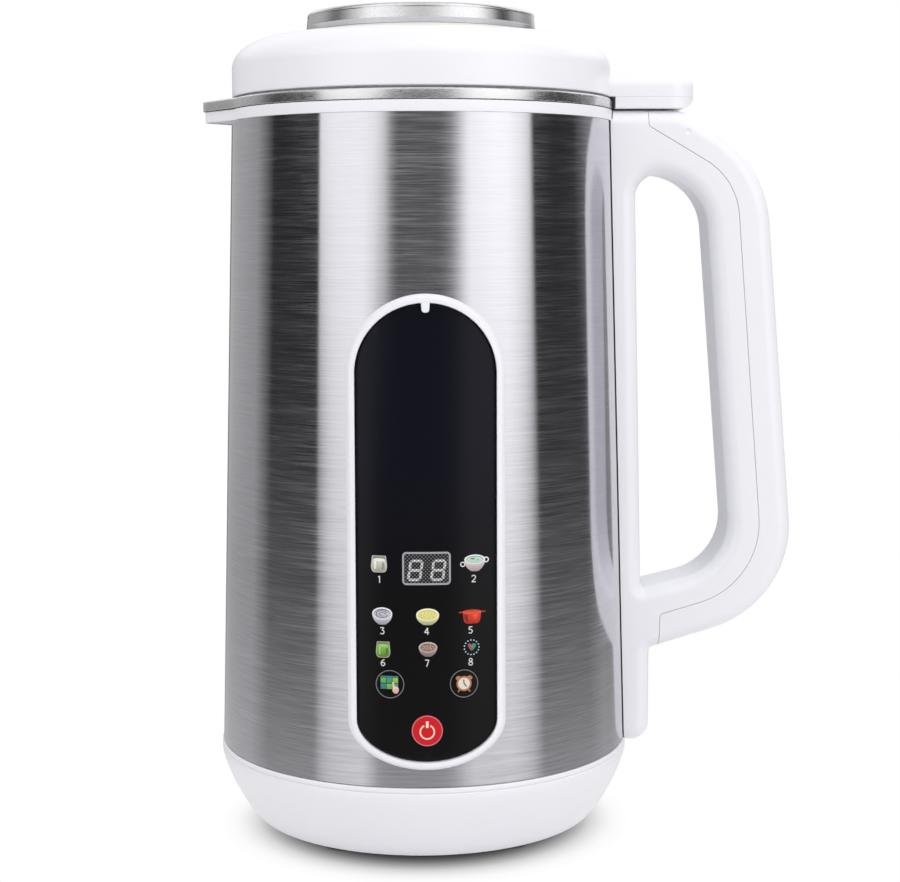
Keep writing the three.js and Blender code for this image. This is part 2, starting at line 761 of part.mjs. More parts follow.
function makeMotor() {
  const bracketRadius = bayRadius - fitGap;
  const vents = (z0, z1) => Array.from({ length: bracketVentCount }, (unused, i) => {
    const [x, y] = polar(bracketRadius - bracketVentInset, i * 360 / bracketVentCount);
    return post(x, y, bracketVentRadius, z0 - cutOverrun, z1 + cutOverrun);
  });

  const lowerBore = bearingOuterRadius + fitGap;
  const brushInner = commutatorRadius + fitGap;
  const plateMiddleZ = lowerBracketZ + bracketThickness / 2;
  const brushOuter = brushInner + brushLength;
  const brushSeats = [-1, 1].map((side) => {
    return brushBlock(side, brushInner + brushLength / 4, brushOuter, plateMiddleZ, commutatorZ);
  });
  let lower = disc(bracketRadius, lowerBracketZ, lowerBracketTopZ, innerSides);
  lower = join([lower, ...motorPosts(plateMiddleZ, statorBottomZ - fitGap), ...brushSeats]);
  lower = cut(lower, [
    ...vents(lowerBracketZ, lowerBracketTopZ),
    disc(sleeveWaistRadius, lowerBracketZ - cutOverrun, lowerBracketTopZ + cutOverrun, innerSides),
    disc(lowerBore, plateMiddleZ, lowerBracketTopZ + cutOverrun, innerSides),
  ]);
  place('motor_bracket_lower', lower, castAluminium);
  placeBearing('lower_bearing', lowerBearingZ, bracketThickness, boltSteel);

  [['brush_left', -1], ['brush_right', 1]].forEach(([name, side]) => {
    const z = commutatorZ + fitGap;
    place(name, brushBlock(side, brushInner, brushOuter, z, z + brushHeight), carbon);
  });

  const core = slab(roundedOutline([
    [-statorHalfWidth, -statorHalfDepth, statorCorner],
    [statorHalfWidth, -statorHalfDepth, statorCorner],
    [statorHalfWidth, statorHalfDepth, statorCorner],
    [-statorHalfWidth, statorHalfDepth, statorCorner],
  ]), statorBottomZ, statorTopZ);
  const bore = disc(statorBore, statorBottomZ - cutOverrun, statorTopZ + cutOverrun, innerSides);
  place('stator_core', core.subtract(bore), boltSteel);
  const coilInner = statorHalfDepth * coilInnerShare;
  const coilOuter = statorHalfDepth * coilOuterShare;
  const coil = (z) => ring(coilInner, coilOuter, z, z + coilHeight, innerSides);
  place('field_coil_upper', coil(statorTopZ + fitGap), copper);
  place('field_coil_lower', coil(statorBottomZ - fitGap - coilHeight), copper);

  let upper = disc(frameRadius, upperBracketZ, upperBracketTopZ, innerSides);
  upper = join([upper, ...motorPosts(statorTopZ + fitGap, upperBracketZ + bracketThickness / 2)]);
  upper = cut(upper, [
    ...vents(upperBracketZ, upperBracketTopZ),
    disc(sleeveRadius + fitGap, upperBracketZ - cutOverrun, upperBracketTopZ + cutOverrun, innerSides),
  ]);
  place('motor_bracket_upper', upper, castAluminium);
}

function makeHeater() {
  const plate = ring(heaterBore, heaterRadius, heaterBottomZ, heaterTopZ, innerSides);
  place('heating_plate', plate, castAluminium);
  const top = heaterBottomZ - fitGap;
  const middle = (heaterBore + heaterRadius) / 2;
  place('thermostat', post(0, middle, thermostatRadius, top - thermostatHeight, top), darkPlastic);
}

function placeBearing(name, z, height, look) {
  place(name, ring(shaftBore, bearingOuterRadius, z, z + height, innerSides), look);
}

function makeBearings() {
  const bore = bearingOuterRadius + fitGap;
  const sleeveBottomZ = upperBracketZ;
  const bearingTopZ = sleeveBottomZ + bearingHeight;
  const sealZ = housingTopZ - sealRecess;
  const noseRadius = bore + sleeveWall;
  const housing = revolve([
    [bore, sleeveBottomZ],
    [sleeveRadius, sleeveBottomZ],
    [sleeveRadius, housingFlangeZ],
    [housingFlangeRadius, housingFlangeZ],
    [housingFlangeRadius, housingFlangeZ + housingFlangeThickness],
    [noseRadius, housingFlangeZ + housingFlangeThickness],
    [noseRadius, housingTopZ],
    [bore, housingTopZ],
    [bore, sealZ],
    [sleeveWaistRadius, sealZ],
    [sleeveWaistRadius, bearingTopZ + fitGap],
    [bore, bearingTopZ + fitGap],
  ], innerSides);
  place('bearing_housing', housing, potSteel);
  placeBearing('upper_bearing', sleeveBottomZ, bearingHeight, boltSteel);
  placeBearing('shaft_seal', sealZ + fitGap, sealHeight, greyRubber);
}

// A blade has a hub ring and two tapered wings that bend up or down from it.
function blade(z, bend, turn) {
  const half = bladeRootWidth / 2;
  const tip = bladeTipWidth / 2;
  const root = bladeHubRadius - bladeThickness;
  const wings = [0, 180].map((side) => {
    const outline = [[0, -half], [bladeReach - root, -tip], [bladeReach - root, tip], [0, half]]
      .map(([x, y]) => new THREE.Vector2(x, y));
    const wing = slab(outline, 0, bladeThickness);
    return wing.rotate([0, -bend, 0]).translate([root, 0, z]).rotate([0, 0, side + turn]);
  });
  const hub = disc(bladeHubRadius, z, z + bladeThickness, innerSides);
  const hole = disc(threadRadius + fitGap, z - cutOverrun, z + bladeThickness + cutOverrun, smallSides);
  return cut(join([hub, ...wings]), [hole]);
}

function makeRotor() {
  const fanRadius = (bayRadius - frameLedge) * fanShare;
  const fanTopZ = lowerBracketZ - fanDrop;
  const fanPlateZ = fanTopZ - fanBladeHeight - fanPlate;
  const tailZ = lowerBracketZ - shaftTail;
  const shaft = revolve([
    [0, tailZ],
    [shaftRadius, tailZ],
    [shaftRadius, bladeZ - fitGap],
    [threadRadius, bladeZ - fitGap],
    [threadRadius, nutZ + nutHeight],
    [0, nutZ + nutHeight],
  ], smallSides);
  place('motor_shaft', shaft, boltSteel);

  const windingRadius = armatureRadius * windingShare;
  const armatureTopZ = statorTopZ + armatureOverhang;
  const slots = around(armatureSlotCount, () => block(
    armatureRadius - armatureSlotDepth, armatureRadius + cutOverrun,
    -armatureSlotWidth / 2, armatureSlotWidth / 2,
    statorBottomZ - fitGap, statorTopZ + fitGap));
  const armature = revolve([
    [shaftBore, armatureBottomZ],
    [windingRadius, armatureBottomZ],
    [windingRadius, statorBottomZ],
    [armatureRadius, statorBottomZ],
    [armatureRadius, statorTopZ],
    [windingRadius, statorTopZ],
    [windingRadius, armatureTopZ],
    [shaftBore, armatureTopZ],
  ], innerSides);
  place('armature', cut(armature, slots), copper);

  place('commutator', ring(shaftBore, commutatorRadius, commutatorZ, commutatorTopZ, innerSides), copper);

  const fanBlades = around(fanBladeCount, () => block(
    fanHubRadius - fanBladeThickness, fanRadius,
    -fanBladeThickness / 2, fanBladeThickness / 2,
    fanPlateZ + fanPlate / 2, fanTopZ));
  const fanBody = join([
    disc(fanRadius, fanPlateZ, fanPlateZ + fanPlate, innerSides),
    disc(fanHubRadius, fanPlateZ, fanTopZ, innerSides),
    ...fanBlades,
  ]);
  const fanBore = disc(shaftBore, fanPlateZ - cutOverrun, fanTopZ + cutOverrun, smallSides);
  place('cooling_fan', fanBody.subtract(fanBore), whitePlastic);

  place('blade_lower', blade(bladeZ, -bladeAngle / 2, 0), potSteel);
  place('blade_upper', blade(upperBladeZ, bladeAngle, 90), potSteel);
  const nut = disc(nutRadius, nutZ, nutZ + nutHeight, nutSides);
  const nutBore = disc(threadRadius + fitGap, nutZ - cutOverrun, nutZ + nutHeight + cutOverrun, smallSides);
  place('blade_nut', nut.subtract(nutBore), potSteel);
}

// The pouring lip's plan on the -X side: two straight sides that leave the rim and meet in a round tip.
function lipOutline(inset) {
  const rootX = -Math.sqrt(rimRadius ** 2 - lipRootHalfWidth ** 2);
  return roundedOutline([
    [rootX, lipRootHalfWidth, 0],
    [-rimRadius - lipCornerReach, 0, lipTipRadius],
    [rootX, -lipRootHalfWidth, 0],
    [-potRadius, -lipRootHalfWidth, 0],
    [-potRadius, lipRootHalfWidth, 0],
  ], inset);
}

function makePot() {
  const holeRadius = sleeveRadius + fitGap;
  const flangeBottomZ = rimTopZ - potWall;
  const corner = (radius, z, fillet) => Array.from({ length: cornerSteps + 1 }, (unused, i) => {
    const t = Math.PI / 2 * i / cornerSteps;
    return [radius - fillet + fillet * Math.sin(t), z + fillet - fillet * Math.cos(t)];
  });
  const wall = revolve([
    [holeRadius, potBottomZ],
    ...corner(potRadius, potBottomZ, potCorner),
    [potRadius, flangeBottomZ],
    [rimRadius - potWall, flangeBottomZ],
    [rimRadius - potWall, rimBottomZ],
    [rimRadius, rimBottomZ],
    [rimRadius, rimTopZ],
    [potInnerRadius + potFlare, rimTopZ],
    [potInnerRadius, rimTopZ - potFlare],
    ...corner(potInnerRadius, potFloorZ, potCorner - potWall).reverse(),
    [holeRadius, potFloorZ],
  ]);
  const inner = slab(lipOutline(potWall), rimBottomZ - cutOverrun, flangeBottomZ);
  const mouth = disc(rimRadius - potWall, rimBottomZ - cutOverrun, rimTopZ + cutOverrun);
  const beak = slab(lipOutline(0), rimBottomZ, rimTopZ).subtract(inner).subtract(mouth);
  const passage = inner.subtract(mouth);
  place('inner_pot', wall.subtract(passage).add(beak), potSteel);
}

function makeShellAndCollar() {
  let shell = revolve([
    [shellBottomRadius - shellWall, shellBottomZ],
    [shellBottomRadius, shellBottomZ],
    [shellTopRadius, shellTopZ],
    [shellTopRadius - shellWall, shellTopZ],
  ]);
  const window = upright(panelOutline(-frameInnerBand - fitGap), -baseRadius - cutOverrun, 0);
  const socket = upright(inletOutline(-fitGap), 0, baseRadius + cutOverrun);
  const screwHoles = [handleTopZ - upperScrewDrop, shellBottomZ + lowerScrewRise].map((z) => bar(
    'x', potRadius, baseRadius + cutOverrun, 0, z, handleScrewRadius + fitGap));
  const slotZ = shellBottomZ + cableEntryRise;
  const cableSlot = block(potRadius, baseRadius + cutOverrun, cableSide - cableHole, cableSide + cableHole,
    slotZ - cableSlotHeight / 2, slotZ + cableSlotHeight / 2);
  shell = cut(shell, [window, socket, ...screwHoles, cableSlot]);
  place('outer_shell', shell, brushedSteel);

  const skirtOuter = shellTopRadius - shellWall - fitGap;
  const collar = revolve([
    [skirtOuter - collarSkirtWall, collarBottomZ - collarSkirtDrop],
    [skirtOuter, collarBottomZ - collarSkirtDrop],
    [skirtOuter, collarBottomZ],
    [collarRadius, collarBottomZ],
    [collarRadius, collarTopZ],
    [potRadius + fitGap, collarTopZ],
    [potRadius + fitGap, collarBottomZ],
    [skirtOuter - collarSkirtWall, collarBottomZ],
  ]);
  const beak = slab(lipOutline(lipCollarSetback), collarBottomZ, collarTopZ)
    .subtract(disc(potRadius + fitGap, collarBottomZ - cutOverrun, collarTopZ + cutOverrun));
  place('collar', collar.add(beak), whitePlastic);
}

function panelOutline(inset) {
  return roundedOutline([
    [-panelHalfWidth, panelBottomZ, panelLowerRadius],
    [panelHalfWidth, panelBottomZ, panelLowerRadius],
    [panelHalfWidth, panelTopZ, panelHalfWidth],
    [-panelHalfWidth, panelTopZ, panelHalfWidth],
  ], inset);
}

const panelKeys = [
  ['function_key', 'function_switch', -keySpread, keyRise, keyRadius, blackGloss],
  ['timer_key', 'timer_switch', keySpread, keyRise, keyRadius, blackGloss],
  ['power_key', 'power_switch', 0, powerKeyRise, powerKeyRadius, redKey],
];

function makePanel() {
  const front = -baseRadius - cutOverrun;
  const raised = upright(panelOutline(-frameBand), front, 0, 0, [panelOutline(0)])
    .intersect(shellBand(frameProud, fitGap));
  const sunk = upright(panelOutline(-frameInnerBand), front, 0, 0, [panelOutline(0)])
    .intersect(shellBand(frameProud / 2, -frameInset));
  const notchBlock = (grow) => block(-notchHalfWidth - grow, notchHalfWidth + grow, front, 0,
    panelTopZ - notchDepth - grow, panelTopZ + frameInnerBand / 2);
  const notch = notchBlock(0).intersect(shellBand(frameProud, -frameInset));
  place('panel_frame', join([raised, sunk, notch]), whitePlastic);

  const coverBack = panelProud - panelThickness;
  const coverBackAt = (x, z) => -Math.sqrt((shellRadiusAt(z) + coverBack) ** 2 - x ** 2);
  const keyBackY = coverBackAt(keySpread + switchSize / 2, shellBottomZ + keyRise);
  const switchBackY = keyBackY + keyTravel + switchGap + switchHeight;
  const cornerBackY = coverBackAt(boardHalfWidth, boardZ + boardHeight);
  const boardFrontY = Math.max(switchBackY + fitGap, cornerBackY + boardGap);
  let cover = upright(panelOutline(fitGap), front, 0).intersect(shellBand(panelProud, coverBack));
  const postHeights = [boardZ + 2 * boardPostRadius, boardZ + boardHeight - 2 * boardPostRadius];
  const posts = [-1, 1].flatMap((side) => postHeights.map((z) => {
    const x = side * (boardHalfWidth - boardPostInset);
    return bar('y', coverBackAt(x, z) - panelThickness / 2, boardFrontY - fitGap, x, z, boardPostRadius);
  }));
  cover = join([cover, ...posts]);
  const keyHoles = panelKeys.map(([key, contact, x, rise, radius]) => bar(
    'y', front, 0, x, shellBottomZ + rise, radius + fitGap, 2 * smallSides));
  const keyClear = keyHoles.map((hole) => hole.intersect(shellBand(cutOverrun, -cutOverrun)));
  place('panel_cover', cut(cover, [notchBlock(fitGap), ...keyClear]), blackGloss);

  const board = block(-boardHalfWidth, boardHalfWidth, boardFrontY, boardFrontY + boardThickness,
    boardZ, boardZ + boardHeight);
  place('control_board', board, boardGreen);

  for (const [key, contact, x, rise, radius, look] of panelKeys) {
    const z = shellBottomZ + rise;
    const cap = bar('y', front, 0, x, z, radius, 2 * smallSides).intersect(shellBand(keyProud, coverBack));
    const contactBackY = boardFrontY - fitGap;
    const contactFrontY = contactBackY - switchHeight;
    const stemFrontY = coverBackAt(x, z) - panelThickness / 2;
    const stemBackY = contactFrontY - keyTravel - keyStemGap;
    const stem = bar('y', stemFrontY, stemBackY, x, z, keyStemRadius);
    place(key, cap.add(stem), look);
    const half = switchSize / 2;
    place(contact, block(x - half, x + half, contactFrontY, contactBackY, z - half, z + half), darkPlastic);
  }

  const displayZ = shellBottomZ + displayRise;
  const displayFrontY = coverBackAt(displayWidth / 2, displayZ + displayHeight / 2) + displayGap;
  const display = block(
    -displayWidth / 2, displayWidth / 2,
    displayFrontY, boardFrontY - fitGap,
    displayZ - displayHeight / 2, displayZ + displayHeight / 2);
  place('display_module', display, displayGrey);
}

function inletOutline(inset) {
  return roundedOutline([
    [-inletHalfWidth, inletZ - inletHalfHeight, inletCorner],
    [inletHalfWidth, inletZ - inletHalfHeight, inletCorner],
    [inletHalfWidth, inletZ + inletHalfHeight, inletCorner],
    [-inletHalfWidth, inletZ + inletHalfHeight, inletCorner],
  ], inset);
}

function makeInlet() {
  const back = baseRadius + cutOverrun;
  const faceY = shellRadiusAt(inletZ) + inletProud;
  const floorY = faceY - inletDepth;
  const flange = upright(inletOutline(-inletLip), 0, back).intersect(shellBand(inletProud, fitGap));
  const body = upright(inletOutline(0), floorY - inletWall, back)
    .intersect(shellBand(inletProud, -baseRadius / 2));
  const cavity = block(
    -inletCavityHalfWidth, inletCavityHalfWidth,
    floorY, back + cutOverrun,
    inletZ - inletCavityHalfHeight, inletZ + inletCavityHalfHeight);
  const pinPlaces = [
    [-inletPinSpread, -inletPinOffset],
    [inletPinSpread, -inletPinOffset],
    [0, 2 * inletPinOffset],
  ];
  const pins = pinPlaces.map(([x, rise]) => block(
    x - inletPinThickness / 2, x + inletPinThickness / 2,
    floorY - inletWall / 2, floorY + inletPinLength,
    inletZ + rise - inletPinHeight / 2, inletZ + rise + inletPinHeight / 2));
  const housing = flange.add(body).subtract(cavity);
  place('power_inlet', join([housing, ...pins]), darkPlastic);
}

// The whole handle's outline in XZ. Its left side runs inside the body, which trims it.
function handleCorners() {
  const low = shellBottomZ;
  const top = handleTopZ;
  return [
    [potRadius, low - stripDrop, 0],
    [stripReach, low - stripDrop, handleEdge + stripCornerMargin],
    [stripReach, low + armBottomRise, armPocketRadius],
    [armCornerReach, low + armCornerRise, armCornerRadius],
    [shoulderReach, top - shoulderDrop, shoulderRadius],
    [handleTopReach, top, handleTopRadius],
    [potRadius, top, 0],
  ];
}

// The finger hole. Between its upright wall and the shell there is room for the cable.
function holeCorners() {
  const low = shellBottomZ;
  const top = handleTopZ;
  const wallOutside = (z, spare) => shellRadiusAt(z) + 2 * cableRadius + spare + handleWall;
  return [
    [wallOutside(low + holeBottomRise, cableRoom), low + holeBottomRise, holeBottomRadius],
    [armCornerReach - gripLowWidth, low + holeLowRise, holeLowRadius],
    [shoulderReach - gripHighWidth, top - holeHighDrop, holeHighRadius],
    [wallOutside(top - holeTopDrop, cableTopRoom), top - holeTopDrop, holeTopRadius],
  ];
}

function seamCorners() {
  const low = shellBottomZ;
  const top = handleTopZ;
  const far = armCornerReach + cutOverrun;
  const seamReach = stripReach - seamTopSetback;
  return [
    [stripReach + seamFootStandOut, low, 0],
    [far, low, 0],
    [far, top + cutOverrun, 0],
    [seamReach, top + cutOverrun, 0],
    [seamReach, top - seamTopDrop, seamSmallRadius],
    [shoulderReach - seamHighInset, top - seamHighDrop, seamHighRadius],
    [armCornerReach - seamLowInset, low + seamLowRise, seamLowRadius],
    [stripReach + seamEndStandOut, low + seamEndRise, seamSmallRadius],
  ];
}

function makeHandle() {
  const half = handleDepth / 2;
  const roomHalf = half - handleWall;
  const body = (inset) => roundedOutline(handleCorners(), inset);
  const hole = (inset) => roundedOutline(holeCorners(), inset);
  const whole = upright(body(0), -half, half, handleEdge, [hole(0)]);
  const room = upright(body(handleWall), -roomHalf, roomHalf, 0, [hole(-handleWall)]);
  const bodyClear = join([
    shellBand(fitGap, -potRadius, baseBottomZ, shellTopZ + fitGap),
    disc(collarRadius + fitGap, shellTopZ, rimTopZ),
    disc(baseRadius + fitGap, baseBottomZ, shellBottomZ),
  ]);
  const upperScrewZ = handleTopZ - upperScrewDrop;
  const lowerScrewZ = shellBottomZ + lowerScrewRise;
  const screwHeights = [upperScrewZ, lowerScrewZ];
  const bossReach = stripReach - handleWall / 2;
  const bosses = screwHeights.map((z) => bar('x', potRadius, bossReach, 0, z, handleBossRadius));
  const screwHoles = screwHeights.map((z) => bar(
    'x', potRadius, shellRadiusAt(z) + handleScrewLength, 0, z, handleScrewRadius + fitGap));
  const socketHalfX = plugDepth / 2 + socketWall + 2 * fitGap;
  const socketHalfY = plugWidth / 2 + socketWall + 2 * fitGap;
  const socketHole = block(plugPlace - socketHalfX, plugPlace + socketHalfX, -socketHalfY, socketHalfY,
    handleTopZ - socketHeight, handleTopZ + cutOverrun);
  const hollow = whole.subtract(room).add(join(bosses).intersect(whole));
  const trimmed = cut(hollow, [bodyClear, socketHole, ...screwHoles]);
  const coverRegion = upright(roundedOutline(seamCorners(), fitGap / 2), -handleDepth, handleDepth);
  const innerRegion = upright(roundedOutline(seamCorners(), -fitGap / 2), -handleDepth, handleDepth);
  place('handle_inner', trimmed.subtract(innerRegion), whitePlastic);
  place('handle_cover', trimmed.intersect(coverRegion), whitePlastic);

  [['handle_screw_upper', upperScrewZ], ['handle_screw_lower', lowerScrewZ]].forEach(([name, z]) => {
    const seatX = shellRadiusAt(z) - shellWall - 2 * fitGap;
    const tipX = shellRadiusAt(z) + handleScrewLength - fitGap;
    const head = bar('x', seatX - handleScrewHeadHeight, seatX, 0, z, handleScrewHeadRadius);
    const shank = bar('x', seatX - handleScrewHeadHeight / 2, tipX, 0, z, handleScrewRadius);
    place(name, head.add(shank), boltSteel);
  });
}

function makeCoupler() {
  const innerX = plugDepth / 2 + fitGap;
  const innerY = plugWidth / 2 + fitGap;
  const top = handleTopZ;
  const bottom = top - socketHeight + fitGap;
  const socketBlock = (grow, z0, z1) => block(
    plugPlace - innerX - grow, plugPlace + innerX + grow,
    -innerY - grow, innerY + grow,
    z0, z1);
  const cavity = socketBlock(0, bottom + socketWall, top + cutOverrun);
  place('coupler_socket', socketBlock(socketWall, bottom, top).subtract(cavity), darkPlastic);
  const plugTop = tabBottomZ - fitGap;
  const plug = block(
    plugPlace - plugDepth / 2, plugPlace + plugDepth / 2,
    -plugWidth / 2, plugWidth / 2,
    plugTop - plugLength, plugTop);
  place('coupler_plug', plug, darkPlastic);

  // The cable runs down behind the handle's strip, through the shell and on to the power board.
  const entryZ = shellBottomZ + cableEntryRise;
  const behind = (z) => shellRadiusAt(z) + cableRadius + cableRoom / 2;
  const inside = shellRadiusAt(entryZ) - cableInset;
  const startX = plugPlace - plugDepth / 2;
  const startZ = bottom - fitGap;
  const runTopZ = startZ - cableBend;
  const runBottomZ = entryZ + cableBend;
  const run = Array.from({ length: cableRunPoints + 1 }, (unused, i) => {
    const z = runTopZ + (runBottomZ - runTopZ) * i / cableRunPoints;
    return [behind(z), z];
  });
  const points = [
    [startX, startZ],
    [startX, startZ - cableBend / 4],
    ...run,
    [shellRadiusAt(entryZ), entryZ],
    [inside, entryZ - cableBend],
    [inside, frameBottomZ],
    [inside - cableInset, powerBoardTopZ + cableBend],
    [inside - cableInset, powerBoardTopZ + fitGap],
  ].map(([x, z]) => new THREE.Vector3(x, cableSide, z));
  const route = new THREE.CatmullRomCurve3(points, false, 'centripetal');
  const section = new THREE.Shape(Array.from({ length: cableSides }, (unused, i) => {
    const t = 2 * Math.PI * i / cableSides;
    return new THREE.Vector2(cableRadius * Math.cos(t), cableRadius * Math.sin(t));
  }));
  const cable = new THREE.ExtrudeGeometry(section, { steps: cableSteps, extrudePath: route });
  place('coupler_cable', toSolid(cable), darkPlastic);
}

// A quarter ellipse from the upright wall to the crown.
function shoulder(radius, bottomZ, width, height) {
  return Array.from({ length: lidShoulderSteps + 1 }, (unused, i) => {
    const t = Math.PI / 2 * i / lidShoulderSteps;
    return [radius - width + width * Math.cos(t), bottomZ + height * Math.sin(t)];
  });
}

function tabOutline(rootX, inset = 0) {
  return roundedOutline([
    [rootX, -tabHalfWidth, 0],
    [tabReach, -tabHalfWidth, tabCornerRadius],
    [tabReach, tabHalfWidth, tabCornerRadius],
    [rootX, tabHalfWidth, 0],
  ], inset);
}

function makeLid() {
  const seatRadius = capRadius - capWall - fitGap;
  const seatTopZ = capTopZ - capWall - fitGap;
  const seatChamfer = capEdge - capWall;
  const innerRadius = lidRadius - lidWall;
  const outside = revolve([
    [0, lidBottomZ],
    [lidRadius, lidBottomZ],
    ...shoulder(lidRadius, shoulderBottomZ, lidShoulderWidth, lidShoulderHeight),
    [capRadius, capBottomZ - fitGap],
    [seatRadius, capBottomZ - fitGap],
    [seatRadius, seatTopZ - seatChamfer],
    [seatRadius - seatChamfer, seatTopZ],
    [0, seatTopZ],
  ]);
  const inside = revolve([
    [0, lidBottomZ - cutOverrun],
    [innerRadius, lidBottomZ - cutOverrun],
    ...shoulder(innerRadius, shoulderBottomZ - lidWall, lidShoulderWidth, lidShoulderHeight),
    [seatRadius - lidWall, shoulderTopZ - lidWall],
    [seatRadius - lidWall, seatTopZ - capSeatDrop],
    [0, seatTopZ - capSeatDrop],
  ]);
  const tabWhole = (rootX) => slab(tabOutline(rootX), tabBottomZ, tabTopZ, tabEdge);
  const tabRoot = innerRadius - lidWall;
  const tabSlice = (x0, z0, z1) => block(x0, tabReach + cutOverrun, -lidRadius, lidRadius, z0, z1);
  const tabUpper = tabWhole(tabRoot).intersect(tabSlice(0, lidBottomZ, capTopZ));
  const tabRoom = slab(tabOutline(tabRoot, tabWall), lidBottomZ - cutOverrun, tabTopZ - tabWall)
    .subtract(disc(lidRadius + tabWall, lidBottomZ - 2 * cutOverrun, capTopZ));
  place('lid_dome', cut(outside.add(tabUpper), [inside, tabRoom]), whitePlastic);
  const lowerRoot = rimRadius + tabRootGap;
  const tabLower = tabWhole(tabRoot).intersect(tabSlice(lowerRoot, tabBottomZ - cutOverrun, tabSeamTopZ));
  place('tab_base', tabLower, whitePlastic);

  const cap = revolve([
    [0, capTopZ - capWall],
    [capRadius - capEdge, capTopZ - capWall],
    [capRadius - capWall, capTopZ - capEdge],
    [capRadius - capWall, capBottomZ],
    [capRadius, capBottomZ],
    [capRadius, capTopZ - capEdge],
    [capRadius - capEdge / 3, capTopZ - capEdge / 3],
    [capRadius - capEdge, capTopZ],
    [0, capTopZ],
  ]);
  place('lid_cap', cap, potSteel);

  const flangeRadius = innerRadius - fitGap;
  const skirtRadius = potInnerRadius - innerLidSkirtGap;
  const ribRadius = skirtRadius + innerLidRib;
  const sealBottomZ = innerLidBottomZ + sealLift;
  const sealTopZ = sealBottomZ + sealBand;
  const floorTopZ = innerLidBottomZ + innerLidWall;
  let innerLid = revolve([
    [0, innerLidBottomZ],
    [ribRadius, innerLidBottomZ],
    [ribRadius, sealBottomZ - fitGap],
    [skirtRadius, sealBottomZ - fitGap],
    [skirtRadius, sealTopZ + fitGap],
    [ribRadius, sealTopZ + fitGap],
    [ribRadius, sealTopZ + fitGap + innerLidWall],
    [skirtRadius, sealTopZ + fitGap + innerLidWall],
    [skirtRadius, innerLidZ],
    [flangeRadius, innerLidZ],
    [flangeRadius, innerLidZ + innerLidFlange],
    [skirtRadius - innerLidWall, innerLidZ + innerLidFlange],
    [skirtRadius - innerLidWall, floorTopZ],
    [0, floorTopZ],
  ], 2 * smallSides);
  const holeBottomZ = innerLidBottomZ - cutOverrun;
  const holeTopZ = floorTopZ + cutOverrun;
  const holes = Array.from({ length: lidVentCount }, (unused, i) => {
    const [x, y] = polar(skirtRadius - lidVentInset, (i + 1 / 2) * 360 / lidVentCount);
    return post(x, y, lidVentRadius, holeBottomZ, holeTopZ);
  });
  const probePlace = skirtRadius - probeInset;
  holes.push(post(probePlace, 0, probeRadius + fitGap, holeBottomZ, holeTopZ));
  innerLid = cut(innerLid, holes);
  place('lid_inner_cover', innerLid, whitePlastic);
  const sealOuter = potInnerRadius - lidSealGap;
  const seal = ring(skirtRadius + fitGap, sealOuter, sealBottomZ, sealTopZ, 2 * smallSides);
  place('lid_seal', seal, sealSilicone);
  const headZ = floorTopZ + fitGap;
  const probe = post(probePlace, 0, probeRadius, innerLidBottomZ - probeLength, headZ + probeHeadHeight / 2)
    .add(post(probePlace, 0, probeHeadRadius, headZ, headZ + probeHeadHeight));
  place('overflow_probe', probe, potSteel);
}

makeBase();
makePowerBoard();
makeInnerFrame();
makeMotor();
makeHeater();
makeBearings();
makeRotor();
makePot();
makeShellAndCollar();
makePanel();
makeInlet();
makeHandle();
makeCoupler();
makeLid();

export default model;
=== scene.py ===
import json
import math
from collections import namedtuple

import bmesh
import bpy
from bpy.props import FloatProperty, FloatVectorProperty, IntProperty, PointerProperty
from mathutils import Matrix, Vector


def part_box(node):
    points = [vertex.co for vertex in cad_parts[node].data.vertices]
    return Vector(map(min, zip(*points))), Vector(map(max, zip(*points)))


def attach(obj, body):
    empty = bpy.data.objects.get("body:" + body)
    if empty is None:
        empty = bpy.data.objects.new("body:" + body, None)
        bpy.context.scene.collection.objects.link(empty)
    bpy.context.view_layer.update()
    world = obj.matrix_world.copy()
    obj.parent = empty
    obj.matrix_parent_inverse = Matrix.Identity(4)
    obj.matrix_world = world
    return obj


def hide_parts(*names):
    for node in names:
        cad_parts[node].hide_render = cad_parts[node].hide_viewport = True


bl_info = {
    "name": "Soy milk maker",
    "version": (1, 0, 0),
    "blender": (4, 5, 0),
    "location": "View3D > Sidebar > Soy milk maker",
    "description": "Builds the finished pieces of a soy milk maker around its frame",
    "category": "Object",
}

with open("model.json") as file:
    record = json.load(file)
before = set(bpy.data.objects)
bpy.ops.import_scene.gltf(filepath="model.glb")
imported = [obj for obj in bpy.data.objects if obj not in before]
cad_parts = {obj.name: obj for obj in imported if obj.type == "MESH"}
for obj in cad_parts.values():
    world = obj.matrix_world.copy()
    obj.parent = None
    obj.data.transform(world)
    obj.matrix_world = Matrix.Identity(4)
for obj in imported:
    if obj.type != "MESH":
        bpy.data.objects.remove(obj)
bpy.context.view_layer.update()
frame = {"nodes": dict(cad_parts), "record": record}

MM = 0.001

# Drawing steps
ROUND_STEPS = 192
LIP_STEPS = 480
SMALL_STEPS = 48
BLOCK_EDGE_STEPS = 3
EDGE_STEPS = 6
CORNER_STEPS = 14
CURVE_STEPS = 40
PLAN_STEPS = 10
LONG_EDGE_STEPS = 8
OUTLINE_STEPS = 20
MERGE = 0.001 * MM
# Keeps two faces that would lie in one plane apart in a boolean
SLIVER = 0.01 * MM
CREASE_ANGLE = math.radians(30)


def low(node):
    """The lowest corner of a node's box."""
    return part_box(node)[0]


def high(node):
    """The highest corner of a node's box."""
    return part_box(node)[1]


